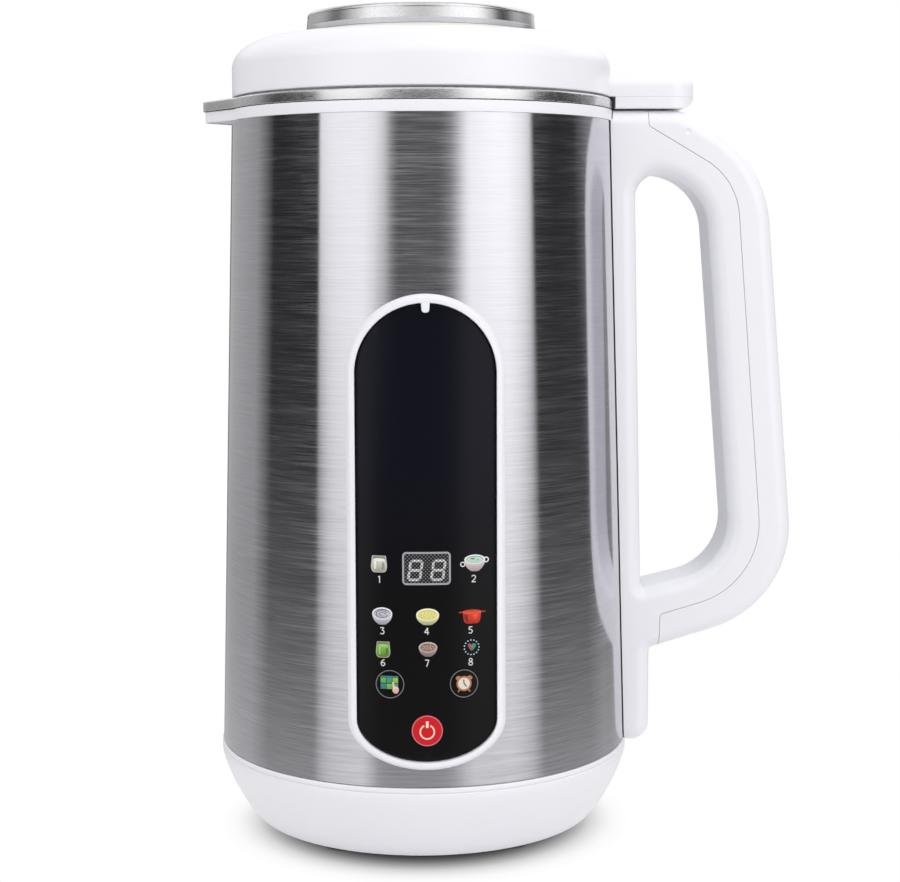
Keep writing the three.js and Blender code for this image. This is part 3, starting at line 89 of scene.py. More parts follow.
# Places that the frame gives
SHELL_BOTTOM = low("outer_shell").z
SHELL_TOP = high("outer_shell").z
SHELL_RADIUS = high("outer_shell").y
RIM_TOP = high("inner_pot").z
RIM_RADIUS = high("inner_pot").y
COLLAR_TOP = high("collar").z
BASE_BOTTOM = low("base_shell").z
BASE_RADIUS = high("base_shell").y
LID_BOTTOM = low("lid_dome").z
LID_RADIUS = high("lid_dome").y
CAP_RADIUS = high("lid_cap").y
CAP_BOTTOM = low("lid_cap").z
CAP_TOP = high("lid_cap").z
TAB_REACH = high("lid_dome").x
TAB_BASE_BOTTOM = low("tab_base").z
TAB_HALF = high("tab_base").y
HANDLE_TOP = high("handle_cover").z
HANDLE_HALF = high("handle_cover").y
POT_BOTTOM = low("inner_pot").z


def length(name, description, default):
    """A length that a user can change."""
    return FloatProperty(name=name, description=description, default=default, unit="LENGTH", precision=5)


def colour(name, description, default):
    """A colour that a user can change."""
    return FloatVectorProperty(
        name=name, description=description, default=default, subtype="COLOR", size=3, min=0, max=1)


class BodySizes(bpy.types.PropertyGroup):
    """Sizes of the base, the steel shell, the collar and the pot"""
    shell_taper: length("Shell taper", "How much narrower the shell is at its top", 5.9 * MM)
    shell_wall: length("Shell wall", "Thickness of the steel shell", 0.6 * MM)
    gap: length("Gap", "Space between neighbouring pieces", 0.3 * MM)
    base_top: length("Base top", "Height of the base's top edge", SHELL_BOTTOM - 0.3 * MM)
    base_band: length("Base band", "Height of the upright band on top of the base", 3.3 * MM)
    base_foot_radius: length("Base foot radius", "Radius where the base meets its flat bottom", 58 * MM)
    base_groove: length("Base groove", "How far below the top edge the fine groove runs", 1.7 * MM)
    cover_radius: length("Cover radius", "Radius of the bottom cover", high("bottom_cover").y)
    collar_height: length("Collar height", "Visible height of the white collar", 3.1 * MM)
    collar_drip: length("Collar drip edge", "How far the collar hangs over the shell's top edge", 0.45 * MM)
    rim_height: length("Rim height", "Visible height of the pot's steel rim", 3.35 * MM)
    pot_radius: length("Pot radius", "Outer radius of the pot's wall", 54.6 * MM)
    pot_wall: length("Pot wall", "Thickness of the pot", 0.8 * MM)
    lip_reach: length("Lip reach", "From the axis to the lip's tip", -low("inner_pot").x)
    lip_half: length("Lip half width", "Half the lip's width where it leaves the rim", 20 * MM)
    lip_tip: length("Lip tip", "Radius of the lip's tip", 7 * MM)
    lip_blend: length("Lip blend", "How softly the lip's sides leave the round rim", 1.2 * MM)
    lip_setback: length("Lip setback", "How far the collar's beak stays behind the rim's", 0.7 * MM)
    lip_dip: length("Lip dip", "How far the lip's top falls towards its tip", 0.15 * MM)


class LidSizes(bpy.types.PropertyGroup):
    """Sizes of the lid, its cap and its tab"""
    wall_height: length("Wall height", "Height of the lid's upright wall", 9.3 * MM)
    shoulder_width: length("Shoulder width", "Width of the rounded shoulder", 16.1 * MM)
    shoulder_height: length("Shoulder height", "Height of the rounded shoulder", 10.2 * MM)
    wall: length("Wall", "Thickness of the lid", 2.2 * MM)
    cap_bead: length("Cap bead", "Radius of the rounded bead around the cap's top", 1.15 * MM)
    cap_lean: length("Cap lean", "How far the cap's side leans inwards at its top", 0.4 * MM)
    cap_foot: length("Cap foot", "Height of the cap's drawn-in foot", 1.6 * MM)
    ring_height: length("Ring height", "Height of the pale ring under the cap", 1.45 * MM)
    tab_height: length("Tab height", "Height of the tab's upper half", 7.25 * MM)
    tab_edge: length("Tab edge", "Radius of the tab's upper edge", 3.8 * MM)
    tab_end: length("Tab end", "Radius of the tab's lower outer end, seen from the front", 5.2 * MM)
    tab_corner: length("Tab corner", "Radius of the tab's corners in plan", 9 * MM)


class HandleSizes(bpy.types.PropertyGroup):
    """Sizes of the loop handle, measured as its outline seen from the front"""
    edge: length("Edge", "Radius of the handle's long edges", 5 * MM)
    strip_reach: length("Strip reach", "How far the lower strip stands out", 77 * MM)
    arm_reach: length("Arm reach", "How far the lower outer corner stands out", 126.94 * MM)
    shoulder_reach: length("Shoulder reach", "How far the upper outer corner stands out", 114.6 * MM)
    top_reach: length("Top reach", "Where the sloping shoulder meets the top", 86.1 * MM)
    top_rise: length("Top rise", "How far the top comes up under the lid's tab", 0.4 * MM)
    seam_gap: length("Seam gap", "Width of the seam between the two halves", 0.16 * MM)


class PanelSizes(bpy.types.PropertyGroup):
    """Sizes of the control panel"""
    half_width: length("Half width", "Half the width of the opening in the frame", 21.9 * MM)
    bottom: length("Bottom", "Height of the opening's lower end", 35.2 * MM)
    top: length("Top", "Height of the opening's upper end", 177.6 * MM)
    lower_height: length("Lower height", "Height of the half ellipse that ends the opening below", 13.0 * MM)
    band: length("Band", "Width of the white frame", 2.75 * MM)
    frame_proud: length("Frame proud", "How far the frame stands out from the steel", 2 * MM)
    cover_proud: length("Cover proud", "How far the black cover stands out from the steel", 0.5 * MM)
    cover_thickness: length("Cover thickness", "Thickness of the black cover", 2.2 * MM)
    key_proud: length("Key proud", "How far the keys stand out from the steel", 0.6 * MM)
    key_radius: length("Key radius", "Radius of the two upper keys", 4.55 * MM)
    power_radius: length("Power key radius", "Radius of the power key", 4.9 * MM)
    display_width: length("Display width", "Width of the display's outline", 14.4 * MM)
    display_height: length("Display height", "Height of the display's outline", 9.7 * MM)


class Colours(bpy.types.PropertyGroup):
    """Colours of the finishes"""
    white: colour("White", "Moulded white plastic", (0.85, 0.85, 0.895))
    steel: colour("Steel", "Brushed steel shell", (0.62, 0.612, 0.65))
    rim: colour("Rim", "Stainless rim and pot", (0.70, 0.69, 0.70))
    cap: colour("Cap", "Bright cap on the lid", (0.66, 0.652, 0.665))
    ring: colour("Ring", "Pale ring under the cap", (0.78, 0.76, 0.69))
    panel: colour("Panel", "Black panel", (0.006, 0.006, 0.0115))
    red: colour("Red", "Power key", (0.62, 0.012, 0.02))
    mark: colour("Mark", "Grey marks on the panel", (0.17, 0.175, 0.185))
    dark: colour("Dark", "Dark moulded plastic", (0.03, 0.03, 0.034))
    rubber: colour("Rubber", "Rubber feet", (0.07, 0.07, 0.075))
    silicone: colour("Silicone", "Seal around the lid", (0.72, 0.71, 0.68))


class StageSizes(bpy.types.PropertyGroup):
    """The camera's place, the floor and the lights"""
    camera: FloatVectorProperty(
        name="Camera", description="Where the camera stands", size=3, unit="LENGTH",
        default=(-8.81 * MM, -631.04 * MM, 199.24 * MM))
    lens: FloatProperty(name="Lens", description="Focal length in millimetres", default=74.17)
    pan: FloatProperty(name="Pan", description="Turn towards the handle, in degrees", default=1.643)
    tilt: FloatProperty(name="Tilt", description="Downward look, in degrees", default=6.457)
    roll: FloatProperty(name="Roll", description="Turn about the line of sight, in degrees", default=0.163)
    floor_size: length("Floor size", "Side of the floor", 12.0)
    # The floor's shadow is painted shade in its material, not cast by the lamps; this moves its middle
    shadow_shift: length(
        "Shadow shift", "How far the middle of the floor's shadow lies towards the camera", 12 * MM)
    tent_radius: length("Tent radius", "From the axis to the tent that the steel mirrors", 1.1)


class SoyMaker(bpy.types.PropertyGroup):
    """Everything that a user can set"""
    body: PointerProperty(type=BodySizes)
    lid: PointerProperty(type=LidSizes)
    handle: PointerProperty(type=HandleSizes)
    panel: PointerProperty(type=PanelSizes)
    colours: PointerProperty(type=Colours)
    stage: PointerProperty(type=StageSizes)
    grain: IntProperty(name="Grain", description="Fineness of the brushing, in lines per metre", default=2600)


# Shapes

def mesh_of(name, bm):
    """A mesh made from a bmesh, which is used up."""
    mesh = bpy.data.meshes.new(name)
    bm.to_mesh(mesh)
    bm.free()
    return mesh


def shown(name, data):
    """A new object in the scene."""
    made = bpy.data.objects.new(name, data)
    bpy.context.scene.collection.objects.link(made)
    return made


def rounded_path(corners, inset=0.0, steps=CORNER_STEPS, side_steps=None):
    """The points of a closed outline whose corners, given as (x, y, radius), are rounded.
    The corners run anticlockwise, and inset moves every side inwards."""
    count = len(corners)
    at = [Vector(corner[:2]) for corner in corners]
    directions = [(at[(i + 1) % count] - at[i]).normalized() for i in range(count)]
    arcs = []
    for i, corner in enumerate(corners):
        before, after = directions[i - 1], directions[i]
        turn = before.cross(after)
        normals = [Vector((-d.y, d.x)) * inset for d in (before, after)]
        along = (normals[1] - normals[0]).cross(after) / turn if abs(turn) > 1e-9 else 0
        place = at[i] + normals[0] + before * along
        if corner[2] == 0:
            arcs.append([place])
            continue
        radius = max(corner[2] - inset * math.copysign(1, turn), MERGE * 10)
        angle = math.atan2(turn, before.dot(after))
        start = place - before * radius * math.tan(abs(angle) / 2)
        centre = start + Vector((-before.y, before.x)) * math.copysign(radius, angle)
        arcs.append([
            centre + Matrix.Rotation(angle * k / steps, 2) @ (start - centre) for k in range(steps + 1)])
    points = []
    for i, arc in enumerate(arcs):
        points += arc
        cuts = side_steps[i] if side_steps else 1
        start, end = arc[-1], arcs[(i + 1) % count][0]
        points += [start.lerp(end, k / cuts) for k in range(1, cuts)]
    return points


def quarter(radius, steps=EDGE_STEPS):
    """A rounded edge as (inset, drop) pairs, from the flat face out to the side."""
    angles = [math.pi / 2 * k / steps for k in range(steps + 1)]
    return [(radius * (1 - math.sin(a)), radius * (1 - math.cos(a))) for a in angles]


def profile(corners, steps=EDGE_STEPS):
    """The points of a closed profile whose corners are rounded."""
    return rounded_path(corners, steps=steps)


def block_corners(left, right, bottom, top, radius):
    """The corners of a rectangle, all with one radius."""
    return [(left, bottom, radius), (right, bottom, radius), (right, top, radius), (left, top, radius)]


def turned(bm, geometry, steps):
    """Turns a profile fully about Z, closes its seam and points its faces outwards."""
    bmesh.ops.spin(
        bm, geom=geometry, cent=(0, 0, 0), axis=(0, 0, 1), dvec=(0, 0, 0),
        angle=2 * math.pi, steps=steps, use_merge=True, use_duplicate=False)
    bmesh.ops.remove_doubles(bm, verts=bm.verts, dist=MERGE)
    bmesh.ops.recalc_face_normals(bm, faces=bm.faces)
    return bm


def spun(points, steps=ROUND_STEPS, closed=True):
    """A closed body made by turning a profile of (radius, height) points about Z. A profile that
    isn't closed starts and ends on the axis."""
    bm = bmesh.new()
    verts = [bm.verts.new((r, 0, z)) for r, z in points]
    pairs = list(zip(verts, verts[1:]))
    if closed:
        pairs.append((verts[-1], verts[0]))
    return turned(bm, verts + [bm.edges.new(pair) for pair in pairs], steps)


def drum(radius, bottom, top):
    """A plain round body about Z, to cut others with."""
    return spun([(0, bottom), (radius, bottom), (radius, top), (0, top)], closed=False)


def ring_edges(bm, points):
    """A closed loop of edges through the points."""
    verts = [bm.verts.new(point) for point in points]
    return [bm.edges.new((verts[i], verts[(i + 1) % len(verts)])) for i in range(len(verts))]


def lofted(rings, around=False):
    """A body through closed rings of equally many points. It has flat ends, or closes around."""
    bm = bmesh.new()
    loops = [ring_edges(bm, ring) for ring in rings]
    pairs = list(zip(loops, loops[1:]))
    if around:
        pairs.append((loops[-1], loops[0]))
    for first, second in pairs:
        bmesh.ops.bridge_loops(bm, edges=first + second)
    if not around:
        for loop in (loops[0], loops[-1]):
            bmesh.ops.triangle_fill(bm, use_beauty=True, edges=loop)
    bmesh.ops.recalc_face_normals(bm, faces=bm.faces)
    return bm


def merged(*shapes):
    """One bmesh that holds several, which are used up."""
    whole = bmesh.new()
    for shape in shapes:
        mesh = mesh_of("part", shape)
        whole.from_mesh(mesh)
        bpy.data.meshes.remove(mesh)
    return whole


def combined(first, second, operation):
    """One closed shape from two: DIFFERENCE or INTERSECT. Both are used up."""
    target, tool = (shown("shape", mesh_of("shape", bm)) for bm in (first, second))
    boolean = target.modifiers.new("boolean", "BOOLEAN")
    boolean.operation = operation
    boolean.object = tool
    boolean.solver = "EXACT"
    result = bmesh.new()
    result.from_object(target, bpy.context.evaluated_depsgraph_get())
    for shape in (target, tool):
        mesh = shape.data
        bpy.data.objects.remove(shape)
        bpy.data.meshes.remove(mesh)
    if not result.faces:
        raise RuntimeError("a boolean left nothing")
    return result


def box_shape(low_corner, high_corner, edge=0.0):
    """A block between two corners, with its edges rounded."""
    bm = bmesh.new()
    size = Vector(high_corner) - Vector(low_corner)
    middle = (Vector(high_corner) + Vector(low_corner)) / 2
    bmesh.ops.create_cube(bm, size=1, matrix=Matrix.Translation(middle) @ Matrix.Diagonal((*size, 1)))
    if edge:
        bmesh.ops.bevel(
            bm, geom=bm.edges[:], offset=edge, segments=BLOCK_EDGE_STEPS, profile=0.5,
            affect="EDGES", material=-1)
    return bm


def rod_shape(start, end, radius, steps=SMALL_STEPS):
    """A round bar between two points."""
    bm = bmesh.new()
    line = Vector(end) - Vector(start)
    turn = line.to_track_quat("Z", "Y").to_matrix().to_4x4()
    place = Matrix.Translation((Vector(start) + Vector(end)) / 2) @ turn
    bmesh.ops.create_cone(
        bm, cap_ends=True, segments=steps, radius1=radius, radius2=radius, depth=line.length, matrix=place)
    return bm


def prism(outline, start, end):
    """A body with an outline drawn in X and Z, reaching along Y from start to end."""
    return lofted([[Vector((x, y, z)) for x, z in outline] for y in (start, end)])


# The record's material slot of each finish. The first finish of a slot is the one that its CAD nodes get.
FINISH_SLOTS = {
    "white plastic": "white_plastic",
    "white satin": "white_plastic",
    "cap ring": "white_plastic",
    "brushed steel": "shell_steel",
    "pot steel": "pot_steel",
    "rim steel": "pot_steel",
    "cap steel": "cap_steel",
    "panel black": "panel_black",
    "panel print": "panel_black",
    "red key": "key_red",
    "dark plastic": "dark_plastic",
    "grey plastic": "grey_plastic",
    "display field": "grey_plastic",
    "display digits": "grey_plastic",
    "foot rubber": "foot_rubber",
    "seal silicone": "seal_silicone",
    "bolt steel": "bolt_steel",
    "cast aluminium": "cast_aluminium",
    "copper": "copper",
    "carbon": "carbon",
    "circuit board": "circuit_board",
}


def piece(name, bm, finish, body, *replaced):
    """Makes a shape a piece that rides on its body, has its finish and stands for its nodes."""
    for face in bm.faces:
        face.smooth = True
    mesh = mesh_of(name, bm)
    mesh.set_sharp_from_angle(angle=CREASE_ANGLE)
    mesh.materials.append(bpy.data.materials[finish])
    made = shown(name, mesh)
    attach(made, body)
    if replaced:
        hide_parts(*replaced)
    return made


def weighted(made):
    """Keeps flat faces flat in the shading beside rounded edges."""
    modifier = made.modifiers.new("weighted normals", "WEIGHTED_NORMAL")
    modifier.keep_sharp = True


# Places on the shell

def shell_radius(z):
    """The shell's radius at a height."""
    sizes = bpy.context.scene.soy_maker.body
    share = (z - SHELL_BOTTOM) / (SHELL_TOP - SHELL_BOTTOM)
    return SHELL_RADIUS - sizes.shell_taper * share


def on_shell(x, z, proud=0.0, side=-1):
    """The point in front of, or behind, the shell's surface at a place seen straight on."""
    return Vector((x, side * math.sqrt((shell_radius(z) + proud) ** 2 - x ** 2), z))


def laid_on_shell(bm, x=0.0, z=0.0, proud=0.0):
    """Lays a flat shape, drawn in X and Y with its depth along -Z, on the front of the shell."""
    for vert in bm.verts:
        vert.co = on_shell(x + vert.co.x, z + vert.co.y, proud + vert.co.z)
    bmesh.ops.recalc_face_normals(bm, faces=bm.faces)
    return bm


# Materials

class Value:
    """A number that a socket gives, on which sums and products can be written."""

    def __init__(self, graph, socket):
        self.graph = graph
        self.socket = socket

    def math(self, operation, first, second=None):
        made = self.graph.node("ShaderNodeMath", {"operation": operation}, {0: first, 1: second})
        return Value(self.graph, made.outputs[0])

    def __add__(self, other):
        return self.math("ADD", self, other)

    def __sub__(self, other):
        return self.math("SUBTRACT", self, other)

    def __mul__(self, other):
        return self.math("MULTIPLY", self, other)

    def __truediv__(self, other):
        return self.math("DIVIDE", self, other)

    def __rsub__(self, other):
        return self.math("SUBTRACT", other, self)

    __radd__ = __add__
    __rmul__ = __mul__

    def sine(self):
        return self.math("SINE", self)

    def root(self):
        return self.math("SQRT", self)

    def within(self, first, last):
        """0 up to first, 1 from last on, and a straight slope between them."""
        made = self.graph.node(
            "ShaderNodeMapRange", {"clamp": True}, {"Value": self, "From Min": first, "From Max": last})
        return Value(self.graph, made.outputs["Result"])


class Graph:
    """The nodes of one material or world."""

    def __init__(self, tree):
        self.tree = tree
        self.tree.nodes.clear()

    def node(self, kind, settings=None, inputs=None):
        """Adds a node: its settings first, then the values or links of its sockets."""
        made = self.tree.nodes.new(kind)
        for name, value in (settings or {}).items():
            if name == "stops":
                self.set_stops(made.color_ramp, value)
            else:
                setattr(made, name, value)
        for name, value in (inputs or {}).items():
            if value is None:
                continue
            socket = made.inputs[name]
            if isinstance(value, Value):
                self.tree.links.new(value.socket, socket)
            elif isinstance(value, bpy.types.NodeSocket):
                self.tree.links.new(value, socket)
            else:
                socket.default_value = value
        return made

    @staticmethod
    def set_stops(ramp, stops):
        while len(ramp.elements) > 1:
            ramp.elements.remove(ramp.elements[-1])
        for i, (place, shade) in enumerate(stops):
            element = ramp.elements[0] if i == 0 else ramp.elements.new(place)
            element.position = place
            element.color = (*shade, 1)

    def place(self, scale=(1, 1, 1)):
        """Object coordinates, stretched."""
        where = self.node("ShaderNodeTexCoord").outputs["Object"]
        return self.node("ShaderNodeMapping", None, {"Vector": where, "Scale": scale}).outputs["Vector"]

    def axis(self, name, vector):
        """One coordinate of a vector."""
        made = self.node("ShaderNodeSeparateXYZ", None, {"Vector": vector})
        return Value(self, made.outputs[name])

    def noise(self, vector, scale=1.0, detail=2.0, roughness=0.5):
        made = self.node("ShaderNodeTexNoise", None, {
            "Vector": vector, "Scale": scale, "Detail": detail, "Roughness": roughness})
        return Value(self, made.outputs["Fac"])

    def mixed(self, factor, first, second):
        """A colour between two."""
        made = self.node("ShaderNodeMix", {"data_type": "RGBA"}, {0: factor})
        for index, shade in ((6, first), (7, second)):
            if isinstance(shade, bpy.types.NodeSocket):
                self.tree.links.new(shade, made.inputs[index])
            else:
                made.inputs[index].default_value = (*shade, 1)
        return made.outputs[2]

    def ramp(self, factor, stops):
        """Colours along a factor, given as (place, colour) stops."""
        return self.node("ShaderNodeValToRGB", {"stops": stops}, {"Fac": factor}).outputs["Color"]

    def bump(self, height, distance):
        return self.node("ShaderNodeBump", None, {
            "Height": height, "Distance": distance, "Strength": 1.0}).outputs["Normal"]


def scaled(shade, factor):
    """A colour made lighter or darker."""
    return tuple(min(1.0, c * factor) for c in shade)


def new_material(name):
    """A material, and the graph that fills it."""
    material = bpy.data.materials.new(name)
    material.use_nodes = True
    return material, Graph(material.node_tree)


def finish(name, build, **constants):
    """A material: build gives its varying sockets, and constants are set on the shader itself."""
    graph = new_material(name)[1]
    sockets = {key.replace("_", " "): value for key, value in constants.items()}
    sockets.update(build(graph))
    shader = graph.node("ShaderNodeBsdfPrincipled", None, sockets)
    graph.node("ShaderNodeOutputMaterial", None, {"Surface": shader.outputs[0]})


def moulded(shade, roughness, grain=1600, spread=0.05, depth=0.004 * MM):
    """Moulded plastic: a faint cloudiness and a very fine texture."""
    def build(graph):
        where = graph.place()
        cloud = graph.noise(where, 26, 3)
        fine = graph.noise(where, grain, 2)
        return {
            "Base Color": graph.mixed(cloud, scaled(shade, 0.985), scaled(shade, 1.012)),
            "Roughness": roughness - spread / 2 + cloud * spread,
            "Normal": graph.bump(fine, depth),
        }
    return build


def brushed(shade, roughness, lines, run, depth=0.004 * MM, streak=0.06, spread=0.1):
    """Metal brushed along the level: streaks that are thin in height and long around."""
    def build(graph):
        fine = graph.noise(graph.place((run, run, lines)), 1, 3, 0.6)
        broad = graph.noise(graph.place((run / 9, run / 9, lines / 7)), 1, 2)
        mask = (fine * 0.8 + broad * 0.2).within(0.3, 0.7)
        return {
            "Base Color": graph.mixed(mask, scaled(shade, 1 - streak), scaled(shade, 1 + streak)),
            "Roughness": roughness - spread / 2 + mask * spread,
            "Normal": graph.bump(fine, depth),
        }
    return build


def turned_metal(shade, roughness, lines=2200, depth=0.003 * MM):
    """Metal turned on a lathe: fine rings about Z."""
    def build(graph):
        where = graph.place()
        x, y = graph.axis("X", where), graph.axis("Y", where)
        across = graph.node("ShaderNodeCombineXYZ", None, {"X": (x * x + y * y).root() * lines})
        rings = graph.noise(across.outputs[0], 1, 2)
        return {
            "Base Color": graph.mixed(rings, scaled(shade, 0.95), scaled(shade, 1.04)),
            "Roughness": roughness - 0.04 + rings * 0.08,
            "Normal": graph.bump(rings, depth),
        }
    return build


def cast(shade, roughness):
    """Cast metal with a coarse skin."""
    def build(graph):
        grain = graph.noise(graph.place(), 900, 4)
        return {
            "Base Color": graph.mixed(grain, scaled(shade, 0.88), scaled(shade, 1.08)),
            "Roughness": roughness - 0.08 + grain * 0.16,
            "Normal": graph.bump(grain, 0.05 * MM),
        }
    return build


def wound(shade):
    """Copper wire laid side by side, with painted shade: the grooves between the turns are darker."""
    def build(graph):
        where = graph.place()
        turns = (graph.axis("Z", where) * 9000).sine() * 0.5 + 0.5
        return {
            # Painted shade: the base colour darkens in the grooves between the turns
            "Base Color": graph.mixed(turns, scaled(shade, 0.45), shade),
            "Roughness": 0.45 - turns * 0.15,
            "Normal": graph.bump(turns, 0.1 * MM),
        }
    return build


def printed_board(shade):
    """A circuit board with paler tracks."""
    def build(graph):
        cells = graph.node("ShaderNodeTexVoronoi", {"distance": "MANHATTAN"}, {
            "Vector": graph.place(), "Scale": 260.0})
        track = Value(graph, cells.outputs["Distance"]).within(0.1, 0.2)
        return {
            "Base Color": graph.mixed(track, scaled(shade, 1.9), shade),
            "Roughness": 0.42 + track * 0.12,
            "Normal": graph.bump(track, 0.02 * MM),
        }
    return build


def glossy_panel(shade):
    """The panel's black sheet, a little bluer towards its top."""
    def build(graph):
        where = graph.place()
        rise = graph.axis("Z", where).within(*PANEL_TURN)
        smear = graph.noise(where, 40, 2)
        return {
            "Base Color": graph.mixed(rise, (shade[0], shade[1], shade[0]), shade),
            "Roughness": 0.1 + smear * 0.05,
        }
    return build


def inked(graph):
    """Print on the panel, coloured by the shape's own attribute."""
    ink = graph.node("ShaderNodeAttribute", {"attribute_name": "ink"}).outputs["Color"]
    grain = graph.noise(graph.place(), 2400, 2)
    return {
        "Base Color": graph.mixed(grain * 0.06, ink, (0.5, 0.5, 0.5)),
        "Roughness": 0.35 + grain * 0.15,
    }


GREY_PLASTIC = (0.13, 0.13, 0.14)
BOLT_STEEL = (0.42, 0.43, 0.45)
ALUMINIUM = (0.42, 0.43, 0.44)
COPPER = (0.62, 0.27, 0.11)
CARBON = (0.03, 0.03, 0.03)
BOARD_GREEN = (0.012, 0.10, 0.035)
DISPLAY_WEAVE = 5600
# Heights between which the panel's black turns from neutral to bluish
PANEL_TURN = (0.08, 0.13)


def display_dots(lit, unlit):
    """A display's fine weave of dots."""
    def build(graph):
        where = graph.place()
        x, z = graph.axis("X", where), graph.axis("Z", where)
        weave = (x * DISPLAY_WEAVE).sine() * (z * DISPLAY_WEAVE).sine()
        dots = weave.within(0.15, 0.6)
        return {
            "Base Color": graph.mixed(dots, unlit, lit),
            "Roughness": 0.4 - dots * 0.1,
        }
    return build


def make_finishes(settings):
    """Every finish of the object, by name."""
    shades = settings.colours
    white, steel, rim, cap, panel = (
        tuple(shade) for shade in (shades.white, shades.steel, shades.rim, shades.cap, shades.panel))
    finish("white plastic", moulded(white, 0.3))
    finish("white satin", moulded(scaled(white, 0.97), 0.42))
    finish("cap ring", moulded(tuple(shades.ring), 0.45))
    finish("red key", moulded(tuple(shades.red), 0.24), Specular_IOR_Level=0.16)
    finish("dark plastic", moulded(tuple(shades.dark), 0.5, grain=1200, spread=0.1, depth=0.02 * MM))
    finish("grey plastic", moulded(GREY_PLASTIC, 0.45, grain=1200, spread=0.1, depth=0.01 * MM))
    finish("foot rubber", moulded(tuple(shades.rubber), 0.78, grain=900, spread=0.1, depth=0.03 * MM))
    finish("seal silicone", moulded(tuple(shades.silicone), 0.5, grain=700, spread=0.08, depth=0.01 * MM))

    steel_look = brushed(
        steel, 0.14, lines=settings.grain, run=60, depth=0.011 * MM, streak=0.08, spread=0.14)
    rim_look = brushed(rim, 0.28, lines=3800, run=500, depth=0.012 * MM, streak=0.12, spread=0.18)
    cap_look = brushed(cap, 0.2, lines=1500, run=900, depth=0.005 * MM, streak=0.07, spread=0.08)
    finish("brushed steel", steel_look, Metallic=1.0, Anisotropic=1.0, Anisotropic_Rotation=0.25)
    finish("rim steel", rim_look, Metallic=1.0, Anisotropic=0.8, Anisotropic_Rotation=0.25)
    finish("cap steel", cap_look, Metallic=1.0)
    finish("pot steel", brushed(rim, 0.3, lines=2400, run=120), Metallic=1.0)
    finish("bolt steel", turned_metal(BOLT_STEEL, 0.34), Metallic=1.0)
    finish("cast aluminium", cast(ALUMINIUM, 0.5), Metallic=1.0)
    finish("copper", wound(COPPER), Metallic=1.0)
    finish("carbon", cast(CARBON, 0.7))
    finish("circuit board", printed_board(BOARD_GREEN))

    finish("panel black", glossy_panel(panel), Specular_IOR_Level=0.12)
    finish("panel print", inked, Specular_IOR_Level=0.2)
    finish("display field", display_dots((0.2, 0.2, 0.21), (0.006, 0.006, 0.009)), Specular_IOR_Level=0.2)
    finish("display digits", display_dots((0.92, 0.92, 0.9), (0.32, 0.32, 0.32)), Specular_IOR_Level=0.2)


def dress_nodes():
    """Gives every node of the frame the finish of its material slot."""
    finishes = {slot: name for name, slot in reversed(FINISH_SLOTS.items())}
    for row in frame["record"]["subparts"]:
        node = frame["nodes"][row["node"]]
        node.data.materials.clear()
        node.data.materials.append(bpy.data.materials[finishes[row["material_slot"]]])


# Base

BASE_CURVE = 1.6
BASE_WALL = 2.4 * MM
BASE_FLOOR = 5.5 * MM
BASE_EDGE = 0.5 * MM
GROOVE_WIDTH = 0.8 * MM
GROOVE_DEPTH = 0.42 * MM
SPIGOT_WALL = 4 * MM
COVER_LEDGE = 8 * MM
COVER_RECESS = 2.7 * MM
COVER_EDGE = 0.6 * MM
VENT_COUNT = 10
VENT_WIDTH = 3 * MM
VENT_START = 11 * MM
VENT_END = 31 * MM
FOOT_GROOVES = 3
FOOT_GROOVE_HALF = 0.35 * MM
FOOT_GROOVE_DEPTH = 0.4 * MM
FOOT_EDGE = 0.5 * MM


def bowl_side(sizes, band):
    """The bowl's rounded side, from its flat bottom up to the upright band."""
    foot = sizes.base_foot_radius
    points = []
    for k in range(CURVE_STEPS + 1):
        t = math.pi / 2 * (1 - k / CURVE_STEPS)
        across, down = math.cos(t) ** BASE_CURVE, math.sin(t) ** BASE_CURVE
        points.append((foot + (BASE_RADIUS - foot) * across, band - (band - BASE_BOTTOM) * down))
    return points


def make_bowl(sizes):
    """The white bowl with its fine groove, and the spigot inside the shell's foot."""
    top, band = sizes.base_top, sizes.base_top - sizes.base_band
    groove, opening = top - sizes.base_groove, sizes.cover_radius + sizes.gap
    floor_top, recess = BASE_BOTTOM + BASE_FLOOR, BASE_BOTTOM + COVER_RECESS
    spigot_top = high("base_shell").z
    spigot = shell_radius(spigot_top) - sizes.shell_wall - sizes.gap
    points = [(opening, BASE_BOTTOM)] + bowl_side(sizes, band)
    points += [(BASE_RADIUS, groove - GROOVE_WIDTH / 2), (BASE_RADIUS - GROOVE_DEPTH, groove),
               (BASE_RADIUS, groove + GROOVE_WIDTH / 2)]
    points += [(BASE_RADIUS - inset, top - drop) for inset, drop in reversed(quarter(BASE_EDGE))]
    points += [(spigot, top), (spigot, spigot_top), (spigot - SPIGOT_WALL, spigot_top),
               (spigot - SPIGOT_WALL, top - BASE_WALL), (BASE_RADIUS - BASE_WALL, band),
               (sizes.base_foot_radius - BASE_WALL, floor_top), (opening - COVER_LEDGE, floor_top),
               (opening - COVER_LEDGE, recess), (opening, recess)]
    piece("base_bowl", spun(points), "white plastic", "body", "base_shell")


def make_grille(sizes):
    """The dark bottom cover with its air vents."""
    radius, bottom, top = sizes.cover_radius, BASE_BOTTOM, high("bottom_cover").z
    cover = spun([(0, bottom), (radius - COVER_EDGE, bottom), (radius, bottom + COVER_EDGE), (radius, top),
                  (0, top)], closed=False)
    first = (VENT_START, -VENT_WIDTH / 2, bottom - BASE_WALL)
    last = (VENT_END, VENT_WIDTH / 2, top + BASE_WALL)
    vents = []
    for k in range(VENT_COUNT):
        vent = box_shape(first, last)
        turn = Matrix.Rotation(2 * math.pi * k / VENT_COUNT, 4, "Z")
        bmesh.ops.transform(vent, matrix=turn, verts=vent.verts)
        vents.append(vent)
    grille = combined(cover, merged(*vents), "DIFFERENCE")
    piece("bottom_grille", grille, "dark plastic", "body", "bottom_cover")


